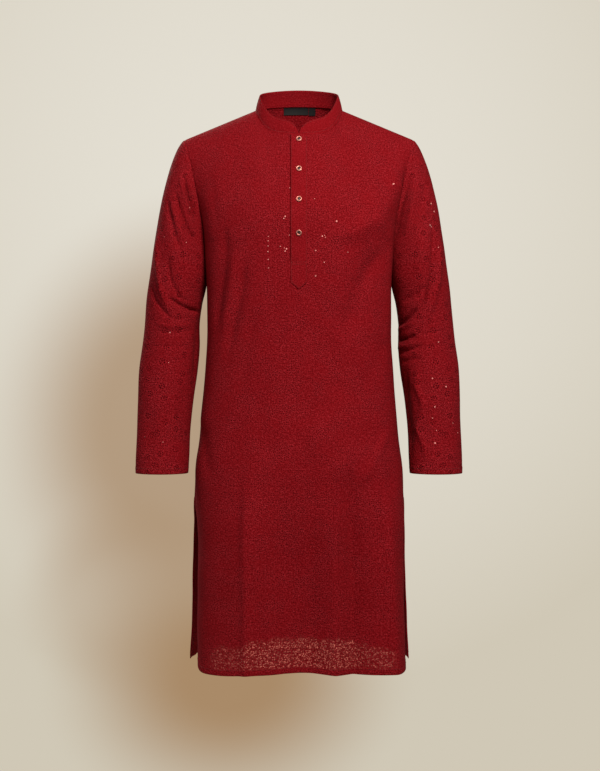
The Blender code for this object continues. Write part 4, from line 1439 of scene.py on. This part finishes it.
def makeFloor():
    # a pale round floor that fades out at its rim
    sides = studio["floorSides"]
    turn = np.linspace(0, 2 * math.pi, sides + 1)[:-1]
    radii = np.linspace(0, studio["floorRadius"], studio["floorRings"] + 1)[1:]
    spokes = np.stack([np.cos(turn), np.sin(turn)], axis=-1)
    flat = np.concatenate([[[0.0, 0.0]], (spokes * radii[:, None, None]).reshape(-1, 2)])
    points = np.column_stack([flat, np.full(len(flat), studio["floor"])])
    faces = [(0, 1 + k, 1 + (k + 1) % sides) for k in range(sides)]
    for ring in range(len(radii) - 1):
        faces += bandFaces(1 + ring * sides, 1 + (ring + 1) * sides, sides)
    mesh = bpy.data.meshes.new("studioFloor")
    mesh.from_pydata(points.tolist(), [], faces)
    floor = bpy.data.objects.new("studioFloor", mesh)
    bpy.context.scene.collection.objects.link(floor)
    # matt painted board: pale and even, with the faintest mottle and no gloss
    material, add = newMaterial("mattPaintedBoard")
    place = add("TexCoord", out="Object")
    onFloor = add("VectorMath", {0: place, 1: (1, 1, 0)}, operation="MULTIPLY")
    away = add("VectorMath", {0: onFloor}, out="Value", operation="LENGTH")
    rim = studio["floorRadius"]
    solid = add(
        "MapRange", {0: away, 1: rim * 0.45, 2: rim * 0.98, 3: 1.0, 4: 0.0},
        interpolation_type="SMOOTHSTEP",
    )
    mottle = add("TexNoise", {"Vector": place, "Scale": studio["mottle"], "Detail": 4.0})
    ramp = add("ValToRGB", {0: mottle})
    stops = ramp.node.color_ramp.elements
    stops[0].color, stops[1].color = [linearColour(shade) for shade in studio["floorColours"]]
    shader = add("BsdfPrincipled", {"Base Color": ramp, "Roughness": 0.9, "Alpha": solid})
    add("OutputMaterial", {"Surface": shader})
    mesh.materials.append(material)


backdrop = {
    # painted light: the wall is palest round the glow and darker far from it
    "pale": "e4dfd3",
    "far": "d0c8b6",
    "glow": (-0.025, 1.0, 0.141),     # direction of the palest place, the middle of a painted pool of light
    "glowReach": 0.936,               # cosine of the angle where it has faded
    # colour of the painted shadows that the garment casts on the wall
    "shade": "a98a68",
    # painted soft shadows of the garment on the far wall: middle, reach across and up, share that
    # fades, strength
    "paintedShadows": [
        ((-0.072, 1.0, -0.028), 0.158, 0.176, 0.6, 0.83),
        ((-0.122, 1.0, -0.147), 0.086, 0.079, 0.6, 0.35),
        ((-0.050, 1.0, -0.203), 0.136, 0.108, 0.8, 1.0),
    ],
}


def makeWorld():
    # The camera sees a pale wall with a painted pool of light and painted soft shadows of the
    # garment;
    # the garment is lit by a plain pale sky. The wall pales with the cosine of the angle to the
    # glow.
    world = bpy.data.worlds.new("studioWall")
    bpy.context.scene.world = world
    world.use_nodes = True
    world.node_tree.nodes.clear()
    add = partial(addNode, world.node_tree)
    way = add("TexCoord", out="Generated")
    glow = tuple(unit(np.array(backdrop["glow"])).tolist())
    near = add("VectorMath", {0: way, 1: glow}, out="Value", operation="DOT_PRODUCT")
    pale = add("MapRange", {0: near, 1: backdrop["glowReach"], 2: 1.0})
    wall = add(
        "Mix", {0: pale, 6: linearColour(backdrop["far"]), 7: linearColour(backdrop["pale"])},
        out=2, data_type="RGBA",
    )
    # each painted shadow darkens the wall towards the shadow colour
    for middle, across, high, fading, strength in backdrop["paintedShadows"]:
        inverse = (1 / across, 1.0, 1 / high)
        shift = tuple(-m * s for m, s in zip(middle, inverse))
        placed = add("Mapping", {0: way, "Location": shift, "Scale": inverse})
        ball = add("TexGradient", {0: placed}, out="Fac", gradient_type="SPHERICAL")
        soft = add(
            "MapRange", {0: ball, 1: 0.0, 2: fading, 4: strength}, interpolation_type="SMOOTHSTEP"
        )
        wall = add(
            "Mix", {0: soft, 6: wall, 7: linearColour(backdrop["shade"])}, out=2,
            data_type="RGBA",
        )
    seen = add("Background", {0: wall, 1: 1.0})
    sky = add("Background", {0: linearColour(studio["sky"]), 1: studio["ambient"]})
    ray = add("LightPath", out="Is Camera Ray")
    both = add("MixShader", {0: ray, 1: sky, 2: seen})
    add("OutputWorld", {"Surface": both})


def makeLights():
    # square softboxes, each turned to the garment
    for name, (place, size, power, colour) in studio["lights"].items():
        lamp = bpy.data.lights.new(name, "AREA")
        lamp.energy, lamp.size = power, size
        lamp.color = linearColour(colour)[:3]
        light = bpy.data.objects.new(name, lamp)
        bpy.context.scene.collection.objects.link(light)
        light.location = place
        toTarget = np.array(studio["target"]) - np.array(place)
        light.rotation_euler = (
            math.atan2(math.hypot(toTarget[0], toTarget[1]), -toTarget[2]),
            0,
            math.atan2(toTarget[0], -toTarget[1]) + math.pi,
        )


def makeCamera():
    # level, square to the front; the lens makes one pixel the chosen size at the side plane
    data = bpy.data.cameras.new("studioCamera")
    data.sensor_fit, data.sensor_width = "HORIZONTAL", studio["sensor"]
    distance = -studio["camera"][1]
    data.lens = studio["sensor"] * distance / (studio["pictureWidth"] * studio["metresPerPixel"])
    camera = bpy.data.objects.new("studioCamera", data)
    bpy.context.scene.collection.objects.link(camera)
    camera.location = studio["camera"]
    camera.rotation_euler = (math.pi / 2, 0, 0)
    bpy.context.scene.camera = camera


makeFloor()
makeWorld()
makeLights()
makeCamera()
bpy.context.scene.view_settings.view_transform = "Standard"
print("studio made")
